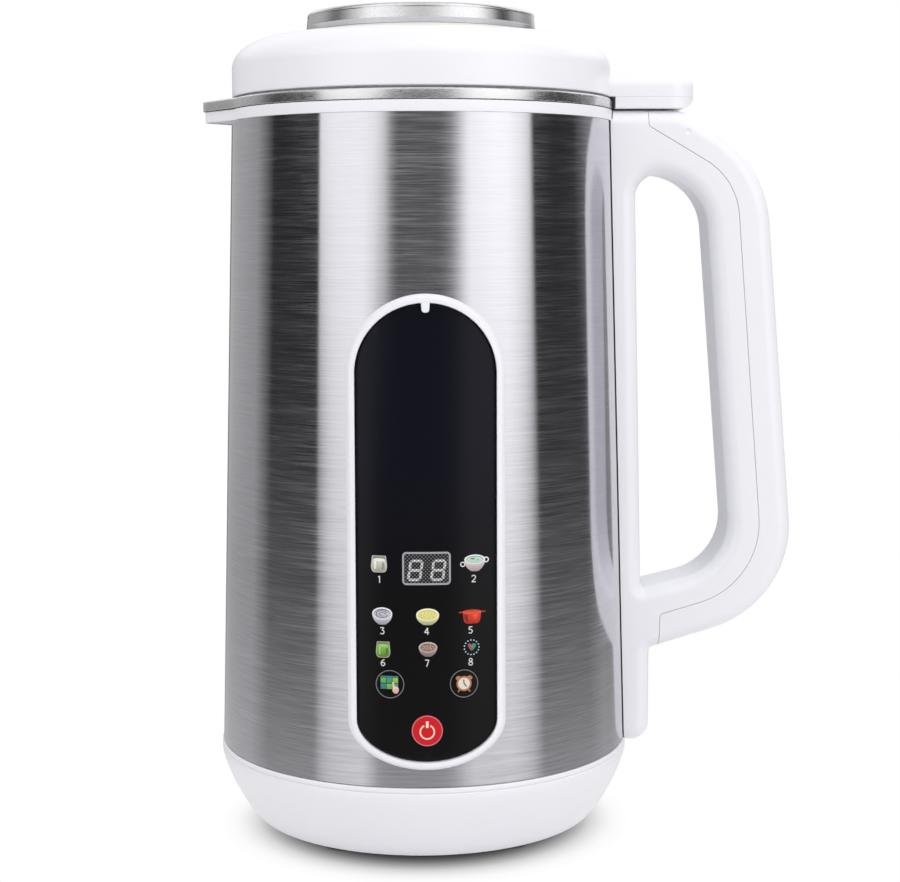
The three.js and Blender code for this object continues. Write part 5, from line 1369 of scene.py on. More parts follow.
class Print:
    """Flat coloured shapes in millimetres that are laid on the panel, each a thin closed body."""

    def __init__(self):
        self.bm = bmesh.new()
        self.bm.verts.layers.float_color.new("ink")
        self.layer = 0

    def shape(self, points, shade, fade=None, above=True):
        """A filled outline, above the last one. fade is its colour at the lower end."""
        part = bmesh.new()
        ink = part.verts.layers.float_color.new("ink")
        part.faces.new([part.verts.new((x * MM, y * MM, 0)) for x, y in points])
        left, right = min(p[0] for p in points) * MM, max(p[0] for p in points) * MM
        cuts = int((right - left) / PRINT_STEP)
        for k in range(1, cuts + 1):
            place = left + k * (right - left) / (cuts + 1)
            geometry = part.verts[:] + part.edges[:] + part.faces[:]
            bmesh.ops.bisect_plane(
                part, geom=geometry, dist=MERGE, plane_co=(place, 0, 0), plane_no=(1, 0, 0))
        bottom, top = min(p[1] for p in points) * MM, max(p[1] for p in points) * MM
        for vert in part.verts:
            share = (vert.co.y - bottom) / (top - bottom)
            vert[ink] = (*Vector(fade or shade).lerp(Vector(shade), share), 1)
        self.layer += above
        lift = PRINT_LIFT + self.layer * PRINT_LAYER
        bmesh.ops.translate(part, vec=(0, 0, lift), verts=part.verts)
        extruded = bmesh.ops.extrude_face_region(part, geom=part.faces[:])["geom"]
        moved = [v for v in extruded if isinstance(v, bmesh.types.BMVert)]
        bmesh.ops.translate(part, vec=(0, 0, -lift - PRINT_SKIRT), verts=moved)
        mesh = mesh_of("print", part)
        self.bm.from_mesh(mesh)
        bpy.data.meshes.remove(mesh)

    def rounded(self, corners, shade, fade=None, inset=0.0, steps=5):
        """A filled outline with rounded corners."""
        self.shape(rounded_path(corners, inset, steps), shade, fade)

    def rectangle(self, left, right, bottom, top, shade, fade=None, above=True):
        self.shape([(left, bottom), (right, bottom), (right, top), (left, top)], shade, fade, above)

    def ellipse(self, x, y, width, height, shade, fade=None, steps=40, start=0.0, above=True):
        """A filled ellipse, or its slice from an angle in degrees round to 360."""
        count = steps + 1 if start else steps
        angles = [math.radians(start + (360 - start) * k / steps) for k in range(count)]
        points = [(x + width / 2 * math.cos(a), y + height / 2 * math.sin(a)) for a in angles]
        self.shape(points, shade, fade, above)

    def band(self, x, y, radius, thickness, shade, start=0.0, end=360.0, squash=1.0, steps=48):
        """A round band between two angles, as a closed ring of short pieces."""
        pieces = max(2, round(steps * (end - start) / 360))
        inner, outer = radius - thickness / 2, radius + thickness / 2
        for k in range(pieces):
            a, b = (math.radians(start + (end - start) * j / pieces) for j in (k, k + 1))
            corners = ((inner, a), (outer, a), (outer, b), (inner, b))
            points = [(x + r * math.cos(t), y + r * math.sin(t) * squash) for r, t in corners]
            self.shape(points, shade, above=k == 0)

    def stroke(self, points, width, shade):
        """A line of a given width through the points."""
        for start, end in zip(points, points[1:]):
            start, end = Vector(start), Vector(end)
            across = Vector((start.y - end.y, end.x - start.x)).normalized() * width / 2
            self.shape([start - across, end - across, end + across, start + across], shade, above=False)

    def edging(self, corners, thickness, shade):
        """A band of even width along a rounded outline."""
        outer, inner = (rounded_path(corners, side * thickness / 2, EDGE_STEPS) for side in (-1, 1))
        for i in range(len(outer)):
            self.shape([outer[i - 1], outer[i], inner[i], inner[i - 1]], shade, above=False)

    def specks(self, x, y, width, height, count, size, shade):
        """Small spots spread evenly over an ellipse, in a spiral."""
        self.layer += 1
        for k in range(count):
            out, angle = math.sqrt((k + 0.5) / count) / 2, k * GOLDEN_ANGLE
            place = x + width * out * math.cos(angle), y + height * out * math.sin(angle)
            self.ellipse(*place, size, size * 0.7, shade, steps=6, above=False)

    def laid(self, name, x, z, proud, body="body", finish="panel print"):
        """The finished print as a piece on the front of the shell."""
        piece(name, laid_on_shell(self.bm, x, z, proud), finish, body)


def draw_glass(ink, x, y, half, height, pale, deep, rim):
    """A tumbler that swells below its middle, with a drink in it."""
    def filled(inset, top, shade, fade):
        wide, foot, swell = half - inset, y - height / 2 + inset, y - height * 0.14
        narrow = wide * 0.84
        ink.rounded([
            (x - narrow, foot, 1.1), (x + narrow, foot, 1.1), (x + wide, swell, 2.2), (x + narrow, top, 0.2),
            (x - narrow, top, 0.2), (x - wide, swell, 2.2)], shade, fade)

    def patch(corners, shade, fade):
        """A light or a shade on the glass, with its corners in shares of the glass."""
        ink.shape([(x + half * across, y + height * up) for across, up in corners], shade, fade)

    ink.layer = 0
    top, level = y + height / 2, y + height * 0.26
    filled(0, top, rim, scaled(rim, 0.7))
    filled(0.18, top - 0.1, scaled(rim, 0.3), scaled(rim, 0.5))
    filled(0.2, level, pale, deep)
    ink.ellipse(x, level, half * 1.45, 0.9, scaled(pale, 1.2))
    patch([(-0.62, -0.3), (-0.36, -0.3), (-0.36, 0.16), (-0.58, 0.16)], scaled(pale, 1.35), pale)
    patch([(0.36, -0.34), (0.66, -0.3), (0.66, 0.1), (0.36, 0.1)], deep, scaled(deep, 0.8))


def draw_bowl(ink, x, y, width, height, mouth, body, rim, food, deep):
    """A bowl seen from above: its body, the rim and what is in it. mouth is the opening's height.
    Gives the height of its lip."""
    ink.layer = 0
    foot, lip = y - height / 2, y + height / 2 - mouth / 2
    ink.ellipse(x, foot + 0.3, width * 0.46, 0.6, scaled(body, 0.4))
    ink.ellipse(x, lip, width, 2 * (lip - foot), scaled(body, 0.9), scaled(body, 0.42), start=180.0)
    ink.ellipse(x, lip, width, mouth, rim, scaled(rim, 0.82))
    ink.ellipse(x, lip - 0.05, width * 0.86, mouth * 0.8, scaled(deep, 0.9), food)
    ink.ellipse(x, lip - mouth * 0.06, width * 0.8, mouth * 0.68, food, scaled(food, 0.86))
    return lip


def draw_pot(ink):
    """A red pot with its lid on."""
    ink.layer = 0
    for side in (-1, 1):
        ink.ellipse(14.1 + side * 3.5, 82.0, 1.5, 0.5, dye(206, 52, 24), dye(120, 24, 10))
    body = [(11.6, 78.4, 1.3), (16.5, 78.4, 1.3), (16.9, 81.9, 0.3), (11.2, 81.9, 0.3)]
    ink.rounded(body, dye(222, 56, 26), dye(168, 28, 12))
    ink.shape([(11.4, 81.6), (11.8, 79.6), (12.9, 78.8), (12.7, 81.6)], dye(150, 26, 12), dye(104, 14, 6))
    ink.shape([(14.3, 81.3), (14.5, 79.6), (15.6, 79.6), (15.8, 81.3)], dye(238, 92, 52), dye(214, 54, 26))
    ink.ellipse(14.05, 82.0, 5.9, 1.5, dye(240, 120, 84), dye(206, 60, 30))
    ink.ellipse(14.05, 82.15, 5.3, 1.1, dye(196, 44, 20), dye(228, 80, 44))
    ink.ellipse(14.0, 82.75, 1.1, 0.5, dye(120, 30, 16))


def draw_ring_of_dots(ink):
    """A heart in two colours inside a ring of dots."""
    ink.layer = 0
    for k in range(RING_DOTS):
        angle = 2 * math.pi * k / RING_DOTS
        place = 13.9 + 2.3 * math.cos(angle), 70.95 + 2.3 * math.sin(angle)
        ink.ellipse(*place, 0.44, 0.44, dye(176, 214, 226), steps=10, above=False)
    left = [(12.6, 71.9), (13.2, 70.5), (13.9, 69.7), (13.9, 71.7), (13.3, 72.3)]
    right = [(13.9, 69.7), (15.2, 71.0), (15.3, 71.9), (14.6, 72.2), (13.9, 71.6)]
    ink.shape(left, dye(170, 70, 76), dye(120, 50, 56))
    ink.shape(right, dye(42, 140, 112), dye(30, 96, 80))
    ink.specks(13.9, 71.1, 2.2, 1.9, 12, 0.2, dye(210, 226, 220))


def draw_program_icons(ink):
    """Eight small motifs of food and drink, plainly drawn. Places and sizes are in millimetres."""
    draw_glass(ink, -14.66, 97.2, 2.5, 5.2, dye(214, 213, 200), dye(150, 148, 135), dye(226, 226, 222))
    draw_glass(ink, -13.55, 70.5, 2.25, 5.0, dye(140, 184, 86), dye(72, 122, 36), dye(190, 206, 176))

    ink.layer = 0
    ink.band(11.2, 97.0, 0.66, 0.34, dye(226, 214, 216), steps=20)
    ink.band(18.5, 98.2, 0.72, 0.34, dye(236, 232, 232), steps=20)
    lip = draw_bowl(ink, 14.95, 97.3, 6.5, 5.2, 3.0, body=dye(232, 212, 216), rim=dye(244, 240, 240),
                    food=dye(186, 216, 198), deep=dye(120, 160, 140))
    ink.ellipse(14.3, lip + 0.25, 1.5, 0.42, dye(78, 112, 92))
    ink.ellipse(15.9, lip - 0.2, 1.0, 0.3, dye(120, 156, 132))

    lip = draw_bowl(ink, -13.75, 81.0, 6.2, 5.4, 3.9, body=dye(220, 218, 228), rim=dye(238, 237, 242),
                    food=dye(198, 193, 206), deep=dye(120, 112, 130))
    ink.band(-13.85, lip - 0.15, 1.75, 0.3, dye(92, 84, 102), 25, 345, 0.62, 30)
    ink.band(-13.7, lip - 0.2, 0.95, 0.3, dye(104, 96, 116), 0, 300, 0.6, 24)

    lip = draw_bowl(ink, 0.27, 80.9, 7.1, 5.2, 4.0, body=dye(236, 236, 190), rim=dye(244, 243, 214),
                    food=dye(228, 220, 128), deep=dye(214, 206, 120))
    ink.specks(0.27, lip - 0.2, 5.2, 2.5, 34, 0.34, dye(196, 180, 62))
    ink.specks(0.4, lip - 0.1, 4.6, 2.1, 16, 0.3, dye(250, 246, 196))

    lip = draw_bowl(ink, 0.34, 70.7, 5.7, 4.6, 3.3, body=dye(172, 156, 150), rim=dye(206, 192, 188),
                    food=dye(158, 124, 112), deep=dye(120, 92, 82))
    ink.specks(0.34, lip - 0.1, 4.0, 2.0, 22, 0.42, dye(88, 60, 52))
    ink.specks(0.5, lip, 3.6, 1.8, 14, 0.36, dye(214, 190, 178))

    draw_pot(ink)
    draw_ring_of_dots(ink)


DIGIT_STROKES = {
    "1": [(-0.35, 0.75), (0.1, 1.1), (0.1, -1.1)],
    "2": [(-0.6, 0.7), (-0.3, 1.05), (0.3, 1.05), (0.6, 0.65), (0.45, 0.1), (-0.6, -1.0), (0.65, -1.0)],
    "3": [(-0.6, 1.0), (0.55, 1.0), (-0.05, 0.2), (0.5, 0.0), (0.6, -0.6), (0.2, -1.05), (-0.6, -0.85)],
    "4": [(0.25, -1.1), (0.25, 1.1), (-0.7, -0.4), (0.7, -0.4)],
    "5": [(0.55, 1.0), (-0.45, 1.0), (-0.5, 0.15), (0.2, 0.2), (0.6, -0.35), (0.2, -1.05), (-0.6, -0.9)],
    "6": [(0.45, 1.0), (-0.2, 0.75), (-0.6, 0.0), (-0.5, -0.8), (0.0, -1.05), (0.55, -0.7), (0.5, -0.1),
          (0.0, 0.15), (-0.5, -0.15)],
    "7": [(-0.6, 1.0), (0.6, 1.0), (-0.1, -1.1)],
    "8": [(0.0, 0.1), (-0.5, 0.4), (-0.4, 0.95), (0.0, 1.1), (0.4, 0.95), (0.5, 0.4), (0.0, 0.1),
          (-0.6, -0.3), (-0.5, -0.9), (0.0, -1.1), (0.5, -0.9), (0.6, -0.3), (0.0, 0.1)],
}
NUMBER_SCALE = 0.98
NUMBER_STROKE = 0.3
NUMBER_PLACES = (
    ("1", -14.6, 92.4), ("2", 14.6, 92.4), ("3", -13.8, 76.4), ("4", 0, 76.4), ("5", 13.6, 76.4),
    ("6", -13.6, 66.4), ("7", 0, 66.4), ("8", 13.6, 66.4))


def draw_numbers(ink):
    """The programs' numbers under their motifs."""
    ink.layer = 0
    for digit, x, y in NUMBER_PLACES:
        line = [(x + NUMBER_SCALE * px, y + NUMBER_SCALE * py) for px, py in DIGIT_STROKES[digit]]
        ink.stroke(line, NUMBER_STROKE, dye(214, 214, 214))


DISPLAY_HEIGHT = 95.95
DISPLAY_CORNER = 1.0
DISPLAY_EDGE = 0.58
DIGIT_PLACES = (-3.45, 3.65)
DIGIT_DROP = 0.55
SEGMENT_WIDTH = 3.6
SEGMENT_HEIGHT = 5.9
SEGMENT_THICKNESS = 0.8
SEGMENT_SPACE = 1.25
SEGMENT_SLANT = 0.14
UNLIT_SEGMENT = (0.7, 0.7, 0.68)


def draw_segments(ink, x, y):
    """The seven segments of one slanted digit."""
    right, top, t = SEGMENT_WIDTH / 2, SEGMENT_HEIGHT / 2, SEGMENT_THICKNESS / 2
    ends = [((-right, level), (right, level)) for level in (top, 0, -top)]
    ends += [((side, level), (side, level + top)) for level in (0, -top) for side in (-right, right)]
    for start, end in ends:
        along = (Vector(end) - Vector(start)).normalized() * t
        across = Vector((-along.y, along.x))
        start, end = Vector(start) + along * SEGMENT_SPACE, Vector(end) - along * SEGMENT_SPACE
        corners = [start - along, start + across, end + across, end + along, end - across, start - across]
        slanted = [(x + p.x + SEGMENT_SLANT * p.y, y + p.y) for p in corners]
        ink.shape(slanted, UNLIT_SEGMENT, above=False)


def make_display(sizes):
    """The display's outline, its field and its two unlit digits."""
    half_w, half_h = sizes.display_width / MM / 2, sizes.display_height / MM / 2
    corners = block_corners(-half_w, half_w, DISPLAY_HEIGHT - half_h, DISPLAY_HEIGHT + half_h, DISPLAY_CORNER)
    edge = Print()
    edge.edging(corners, DISPLAY_EDGE, dye(160, 160, 165))
    edge.laid("display_outline", 0, 0, sizes.cover_proud)
    field = Print()
    field.rounded(corners, (0.1, 0.1, 0.1), inset=0.3, steps=EDGE_STEPS)
    field.laid("display_field", 0, 0, sizes.cover_proud, finish="display field")
    digits = Print()
    for x in DIGIT_PLACES:
        draw_segments(digits, x, DISPLAY_HEIGHT - DIGIT_DROP)
    digits.laid("display_digits", 0, 0, sizes.cover_proud + DIGIT_LIFT, finish="display digits")


KEY_RING = 0.26
KEY_TILES = (dye(104, 176, 78), dye(62, 158, 120), dye(148, 196, 74), dye(52, 134, 140), dye(118, 184, 84),
             dye(70, 150, 126))
TILE_PITCH = (1.86, 1.85)
CLOCK_BROWN = (0.42, 0.16, 0.07)
CLOCK_RIM = (0.45, 0.18, 0.08)


def draw_power_mark(ink):
    """A ring that is open at its top, and a short bar in the opening."""
    ink.band(0, -0.35, 2.18, 0.46, dye(250, 218, 204), 116, 424)
    ink.rectangle(-0.42, 0.42, 0.95, 3.0, dye(250, 218, 204))


def draw_function_mark(ink):
    """A field of tiles with a pointing hand on it."""
    ink.rectangle(-2.9, 2.6, 2.1, 2.6, dye(60, 120, 132))
    for k, shade in enumerate(KEY_TILES):
        left, base = (k % 3) * TILE_PITCH[0] - 2.9, 0.35 - (k // 3) * TILE_PITCH[1]
        ink.rectangle(left, left + 1.7, base, base + 1.65, shade, scaled(shade, 0.7), above=k == 0)
    ink.ellipse(1.75, -1.75, 2.0, 2.3, dye(238, 196, 184), dye(214, 160, 146))
    ink.shape([(0.85, -1.6), (1.5, -1.4), (1.2, 0.7), (0.75, 0.7)], dye(240, 204, 190))


def draw_timer_mark(ink):
    """An alarm clock."""
    for side in (-1, 1):
        ink.ellipse(side * 1.75, 1.75, 1.7, 1.4, CLOCK_BROWN)
        ink.stroke([(side * 1.2, -1.7), (side * 1.9, -2.6)], 0.45, CLOCK_BROWN)
    ink.ellipse(0, 0, 4.7, 4.7, CLOCK_RIM)
    ink.ellipse(0, 0, 3.6, 3.6, (0.75, 0.68, 0.6))
    ink.layer += 1
    ink.stroke([(-0.1, 1.3), (0, 0), (0.8, -1.0)], 0.34, (0.03, 0.028, 0.03))


KEY_MARKS = {"function_key": draw_function_mark, "timer_key": draw_timer_mark, "power_key": draw_power_mark}


def make_print(sizes, colours):
    """The panel's motifs, its display and the marks on the keys."""
    icons = Print()
    draw_program_icons(icons)
    draw_numbers(icons)
    icons.laid("panel_motifs", 0, 0, sizes.cover_proud)
    make_display(sizes)
    for key in key_places(sizes):
        ink = Print()
        ring = dye(176, 128, 140) if key.node == "power_key" else tuple(colours.mark)
        ink.band(0, 0, key.radius / MM - KEY_RING, KEY_RING, ring, steps=72)
        KEY_MARKS[key.node](ink)
        ink.laid(key.name + "_print", key.x, key.z, sizes.key_proud, key.body)


# Power inlet

INLET_DEPTH = 16.5 * MM
INLET_PROUD = 2.2 * MM
INLET_WALL = 2 * MM
CAVITY_HALF_WIDTH = 12 * MM
CAVITY_HALF_HEIGHT = 8.4 * MM
CAVITY_CORNER = 2.4 * MM
FLANGE_CORNER = 5 * MM
FLANGE_ROUND = 0.9 * MM
CAVITY_ROUND = 0.5 * MM
INLET_PINS = ((-7 * MM, -2.2 * MM), (7 * MM, -2.2 * MM), (0, 4.4 * MM))
INLET_PIN_HALF = (MM, 2 * MM)
INLET_PIN_LENGTH = 12 * MM


def make_inlet(gap):
    """The power inlet at the back: a rounded flange, its cavity and three pins."""
    first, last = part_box("power_inlet")
    middle = (first.z + last.z) / 2
    floor = shell_radius(middle) + INLET_PROUD - INLET_DEPTH
    flange = last.x, (last.z - first.z) / 2, FLANGE_CORNER
    box = last.x - INLET_LIP, flange[1] - INLET_LIP, INLET_CORNER
    cavity = CAVITY_HALF_WIDTH, CAVITY_HALF_HEIGHT, CAVITY_CORNER

    def outline(half_w, half_h, corner, inset=0.0):
        corners = block_corners(-half_w, half_w, middle - half_h, middle + half_h, corner)
        return rounded_path(corners, inset, 8, side_steps=(10, 6, 10, 6))

    def curved(form, out, inset=0.0):
        """A ring of the form that follows the shell."""
        return [on_shell(x, z, out, 1) for x, z in outline(*form, inset)]

    def flat(form, y):
        """A flat ring of the form."""
        return [Vector((x, y, z)) for x, z in outline(*form)]

    rings = [flat(box, floor - INLET_WALL), curved(box, -gap), curved(flange, gap / 2)]
    rings += [curved(flange, INLET_PROUD - drop, inset) for inset, drop in reversed(quarter(FLANGE_ROUND, 5))]
    rings += [curved(cavity, INLET_PROUD, -CAVITY_ROUND), curved(cavity, INLET_PROUD - CAVITY_ROUND),
              flat(cavity, floor)]
    piece("inlet_housing", lofted(rings), "dark plastic", "body", "power_inlet")
    half_w, half_h = INLET_PIN_HALF
    pins = merged(*(
        box_shape((x - half_w, floor - MM, middle + z - half_h),
                  (x + half_w, floor + INLET_PIN_LENGTH, middle + z + half_h), 0.4 * MM)
        for x, z in INLET_PINS))
    piece("inlet_pins", pins, "bolt steel", "body")


# Stage

# What the steel mirrors: the azimuth about the axis in degrees, seen from above with 0 towards
# the camera and plus towards the handle, and how bright the tent is there
TENT_BANDS = (
    (-180, 0.5), (-176, 0.14), (-163, 0.14), (-158, 0.5), (-128, 0.48), (-112, 0.4), (-95.5, 0.03),
    (-61.6, 0.02), (-60.6, 1.3), (-52, 1.38), (-27.2, 1.38), (-22.6, 1.08), (-18, 0.36), (-14.6, 0.1),
    (8.5, 0.1), (12, 0.15), (15.6, 0.26), (19.4, 0.58), (23, 1.08), (26.4, 1.42), (40, 1.6), (50, 1.58),
    (58, 1.38), (64.2, 1.05), (65.6, 0.03), (99, 0.04), (115, 0.28), (122, 0.2), (145, 0.46), (157, 0.85),
    (176, 0.5), (180, 0.5))
# The same lower down, where the edges stand a little elsewhere and are softer
LOW_BANDS = (
    (-180, 0.5), (-176, 0.14), (-163, 0.14), (-158, 0.5), (-128, 0.46), (-112, 0.42), (-96, 0.04),
    (-62.4, 0.04), (-59, 0.5), (-55, 0.84), (-50, 1.04), (-40, 1.2), (-34, 1.25), (-29.5, 0.8),
    (-24.5, 0.22), (-19, 0.14), (8, 0.15), (13, 0.26), (17, 0.5), (21.5, 0.95), (26, 1.25), (48, 1.3),
    (54, 1.12), (60, 0.8), (64, 0.4), (67.5, 0.04), (104, 0.04), (120, 0.26), (127, 0.2), (148, 0.44),
    (160, 0.8), (180, 0.5))
# The same, higher up, where only the lid's cap looks
HIGH_BANDS = (
    (-180, 1.0), (-141, 1.15), (-119, 0.82), (-108, 0.5), (-99, 0.3), (-91, 0.34), (-83, 0.66), (-73, 1.05),
    (-62, 1.25), (-45, 1.42), (-22, 1.15), (1, 0.9), (14, 1.1), (26, 1.35), (45, 1.55), (62, 1.5), (71, 1.25),
    (78, 0.75), (84, 0.12), (92, 0.08), (99, 0.42), (106, 1.1), (118, 1.35), (131, 1.35), (180, 1.0))
# Heights between which each row gives way to the next, and to the ground below
LOW_TURN = (0.34, 0.04)
HIGH_TURN = (0.48, 0.62)
GROUND_TURN = (0.06, -0.42)
GROUND_FADE = (-0.05, -0.5)
GROUND_DARK = 0.26
GROUND_RISE = 0.7
TENT_PEAK = 1.6
TENT_TOP = 2.6
TENT_FOOT = -1.6
TENT_SIDES = 96


def tent_material():
    """Bright and dark upright panels, which fade downwards into a grey floor."""
    material, graph = new_material("light tent")
    where = graph.node("ShaderNodeTexCoord").outputs["Object"]
    x, y, z = (graph.axis(name, where) for name in "XYZ")
    turn = x.math("ARCTAN2", x, 0 - y) / (2 * math.pi) + 0.5
    rows = []
    for bands in (TENT_BANDS, LOW_BANDS, HIGH_BANDS):
        stops = [(angle / 360 + 0.5, (glow / TENT_PEAK,) * 3) for angle, glow in bands]
        rows.append(Value(graph, graph.ramp(turn, stops)) * TENT_PEAK)
    down, up = z.within(*LOW_TURN), z.within(*HIGH_TURN)
    panels = rows[0] * (1 - down) + rows[1] * down
    panels = panels * (1 - up) + rows[2] * up
    below = z.within(*GROUND_TURN)
    ground = z.within(*GROUND_FADE) * GROUND_RISE + GROUND_DARK
    strength = panels * (1 - below) + ground * below
    glow = graph.node("ShaderNodeEmission", None, {"Color": (1, 1, 1, 1), "Strength": strength})
    graph.node("ShaderNodeOutputMaterial", None, {"Surface": glow.outputs[0]})
    return material


def make_tent(sizes):
    """A round tent that only reflections show: the steel mirrors its panels as upright bands."""
    bm = bmesh.new()
    verts = [bm.verts.new((sizes.tent_radius, 0, z)) for z in (TENT_FOOT, TENT_TOP)]
    tent = shown("light_tent", mesh_of("light_tent", turned(bm, verts + [bm.edges.new(verts)], TENT_SIDES)))
    tent.data.materials.append(tent_material())
    tent.visible_camera = False
    tent.visible_diffuse = False
    tent.visible_shadow = False
    tent.visible_transmission = False


# How bright the floor's painted shadow looks at a distance in millimetres from its middle: shade painted into
# the floor's colour, not cast by the lamps
SHADOW = (
    (0, 0.02), (42.7, 0.033), (45.6, 0.082), (48.4, 0.178), (51.2, 0.319), (54, 0.491), (56.7, 0.68),
    (59.5, 0.807), (62.2, 0.905), (65, 0.965), (70, 1.0))
SHADOW_END = 100
# How strongly the surround lights the object
SURROUND = 0.86


def make_floor(sizes):
    """A white floor. The camera sees it evenly white, but for a soft shadow close to the object, which is
    painted shade in the floor's colour and is not cast by the lamps.
    """
    material, graph = new_material("floor")
    where = graph.place()
    x, y = graph.axis("X", where), graph.axis("Y", where) + sizes.shadow_shift
    away = (x * x + y * y).root() / (SHADOW_END * MM)
    # Painted shadow: the floor's colour darkens towards the shadow's middle, for camera rays only
    shade = graph.ramp(away, [(distance / SHADOW_END, (glow,) * 3) for distance, glow in SHADOW])
    seen = Value(graph, graph.node("ShaderNodeLightPath").outputs["Is Camera Ray"])
    paint = graph.node("ShaderNodeBsdfDiffuse", None, {"Color": (0.9, 0.9, 0.9, 1)})
    glow = graph.node("ShaderNodeEmission", None, {"Color": shade, "Strength": 1.0})
    both = graph.node("ShaderNodeMixShader", None, {0: seen, 1: paint.outputs[0], 2: glow.outputs[0]})
    graph.node("ShaderNodeOutputMaterial", None, {"Surface": both.outputs[0]})

    bm = bmesh.new()
    bmesh.ops.create_grid(bm, x_segments=2, y_segments=2, size=sizes.floor_size / 2)
    floor = shown("floor", mesh_of("floor", bm))
    floor.data.materials.append(material)
    floor.visible_glossy = False


def make_world():
    """An even pale surround; the camera sees plain white."""
    world = bpy.data.worlds.new("surround")
    bpy.context.scene.world = world
    world.use_nodes = True
    graph = Graph(world.node_tree)
    camera = Value(graph, graph.node("ShaderNodeLightPath").outputs["Is Camera Ray"])
    strength = SURROUND + camera * (1 - SURROUND)
    surface = graph.node("ShaderNodeBackground", None, {"Color": (1, 1, 1, 1), "Strength": strength})
    graph.node("ShaderNodeOutputWorld", None, {"Surface": surface.outputs[0]})


# Name, place, size and power in watts of each lamp, which looks at the object's middle
LAMPS = (("lamp_above", (0.3, -0.8, 1.5), 1.2, 7.6), ("lamp_right", (1.4, -1.2, 0.7), 1.0, 1.2))
LAMP_AIM = (0, 0, 0.13)
SENSOR_WIDTH = 36


def make_lamps():
    """Soft lamps from above and from the right."""
    for name, place, size, power in LAMPS:
        data = bpy.data.lights.new(name, "AREA")
        data.shape = "SQUARE"
        data.size = size
        data.energy = power
        lamp = shown(name, data)
        lamp.location = place
        lamp.rotation_mode = "QUATERNION"
        lamp.rotation_quaternion = (Vector(LAMP_AIM) - Vector(place)).to_track_quat("-Z", "Y")
        lamp.visible_glossy = False
        lamp.visible_camera = False


def make_camera(sizes):
    """The camera at the photograph's viewing angle."""
    data = bpy.data.cameras.new("camera")
    data.lens = sizes.lens
    data.sensor_width = SENSOR_WIDTH
    camera = shown("camera", data)
    turn = Matrix.Rotation(math.radians(-sizes.pan), 4, "Z")
    turn @= Matrix.Rotation(math.radians(90 - sizes.tilt), 4, "X")
    turn @= Matrix.Rotation(math.radians(-sizes.roll), 4, "Z")
    camera.matrix_world = Matrix.Translation(sizes.camera) @ turn
    bpy.context.scene.camera = camera
    bpy.context.scene.view_settings.view_transform = "Standard"


# Operators, one for each piece or group of like pieces

class BuildStage(bpy.types.Operator):
    """Set up the camera, the floor, the surround, the lamps and the tent"""
    bl_idname = "soy_maker.build_stage"
    bl_label = "Build stage"

    def execute(self, context):
        sizes = context.scene.soy_maker.stage
        make_camera(sizes)
        make_floor(sizes)
        make_tent(sizes)
        make_world()
        make_lamps()
        return {"FINISHED"}


class BuildFinishes(bpy.types.Operator):
    """Make every finish and give it to the frame's nodes"""
    bl_idname = "soy_maker.build_finishes"
    bl_label = "Build finishes"

    def execute(self, context):
        make_finishes(context.scene.soy_maker)
        dress_nodes()
        return {"FINISHED"}


class BuildBase(bpy.types.Operator):
    """Build the base bowl, its bottom cover and the feet"""
    bl_idname = "soy_maker.build_base"
    bl_label = "Build base"

    def execute(self, context):
        sizes = context.scene.soy_maker.body
        make_bowl(sizes)
        make_grille(sizes)
        make_feet()
        return {"FINISHED"}


class BuildShell(bpy.types.Operator):
    """Build the steel shell"""
    bl_idname = "soy_maker.build_shell"
    bl_label = "Build shell"

    def execute(self, context):
        settings = context.scene.soy_maker
        make_shell(settings.body, settings.panel)
        return {"FINISHED"}


class BuildRim(bpy.types.Operator):
    """Build the collar and the pot with its rim"""
    bl_idname = "soy_maker.build_rim"
    bl_label = "Build rim and pot"

    def execute(self, context):
        sizes = context.scene.soy_maker.body
        make_collar(sizes)
        make_pot(sizes)
        return {"FINISHED"}


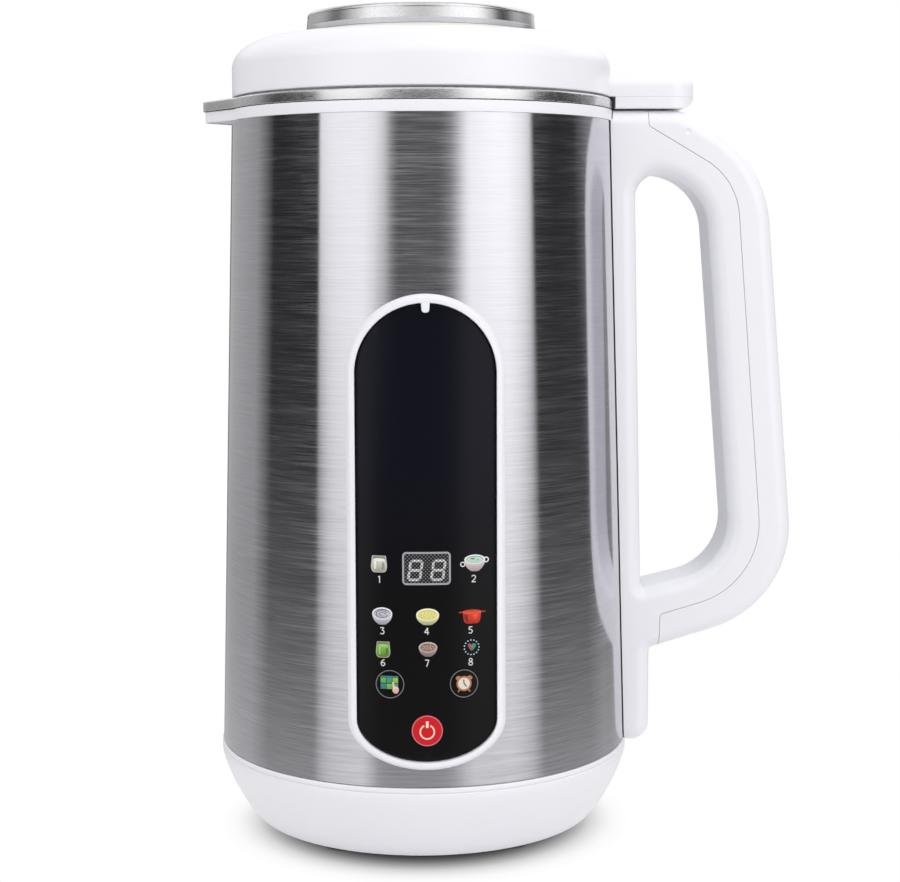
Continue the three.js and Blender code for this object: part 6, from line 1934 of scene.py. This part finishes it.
class BuildLid(bpy.types.Operator):
    """Build the lid, its cap, its tab and what it carries underneath"""
    bl_idname = "soy_maker.build_lid"
    bl_label = "Build lid"

    def execute(self, context):
        settings = context.scene.soy_maker
        make_lid(settings.lid)
        make_tab_underside(settings.lid, settings.body)
        make_cap_ring(settings.lid)
        make_cap(settings.lid)
        make_lining(settings.body)
        make_seal(settings.body)
        make_probe()
        make_plug()
        return {"FINISHED"}


class BuildHandle(bpy.types.Operator):
    """Build the two halves of the handle"""
    bl_idname = "soy_maker.build_handle"
    bl_label = "Build handle"

    def execute(self, context):
        settings = context.scene.soy_maker
        make_handle(settings.handle, settings.body)
        return {"FINISHED"}


class BuildPanel(bpy.types.Operator):
    """Build the control panel with its frame, keys and print"""
    bl_idname = "soy_maker.build_panel"
    bl_label = "Build panel"

    def execute(self, context):
        settings = context.scene.soy_maker
        make_panel(settings.panel, settings.body)
        make_print(settings.panel, settings.colours)
        return {"FINISHED"}


class BuildInlet(bpy.types.Operator):
    """Build the power inlet at the back"""
    bl_idname = "soy_maker.build_inlet"
    bl_label = "Build inlet"

    def execute(self, context):
        make_inlet(context.scene.soy_maker.body.gap)
        return {"FINISHED"}


OPERATORS = (
    BuildStage, BuildFinishes, BuildBase, BuildShell, BuildRim, BuildLid, BuildHandle, BuildPanel, BuildInlet)


class SoyMakerPanel(bpy.types.Panel):
    """The steps that build the soy milk maker"""
    bl_label = "Soy milk maker"
    bl_idname = "VIEW3D_PT_soy_maker"
    bl_space_type = "VIEW_3D"
    bl_region_type = "UI"
    bl_category = "Soy milk maker"

    def draw(self, context):
        for operator in OPERATORS:
            self.layout.operator(operator.bl_idname)


CLASSES = (
    BodySizes, LidSizes, HandleSizes, PanelSizes, Colours, StageSizes, SoyMaker, *OPERATORS, SoyMakerPanel)


def register():
    for item in CLASSES:
        bpy.utils.register_class(item)
    bpy.types.Scene.soy_maker = PointerProperty(type=SoyMaker)


def unregister():
    del bpy.types.Scene.soy_maker
    for item in reversed(CLASSES):
        bpy.utils.unregister_class(item)


def main():
    register()
    for operator in OPERATORS:
        group, name = operator.bl_idname.split(".")
        getattr(getattr(bpy.ops, group), name)()


if __name__ == "__main__":
    main()
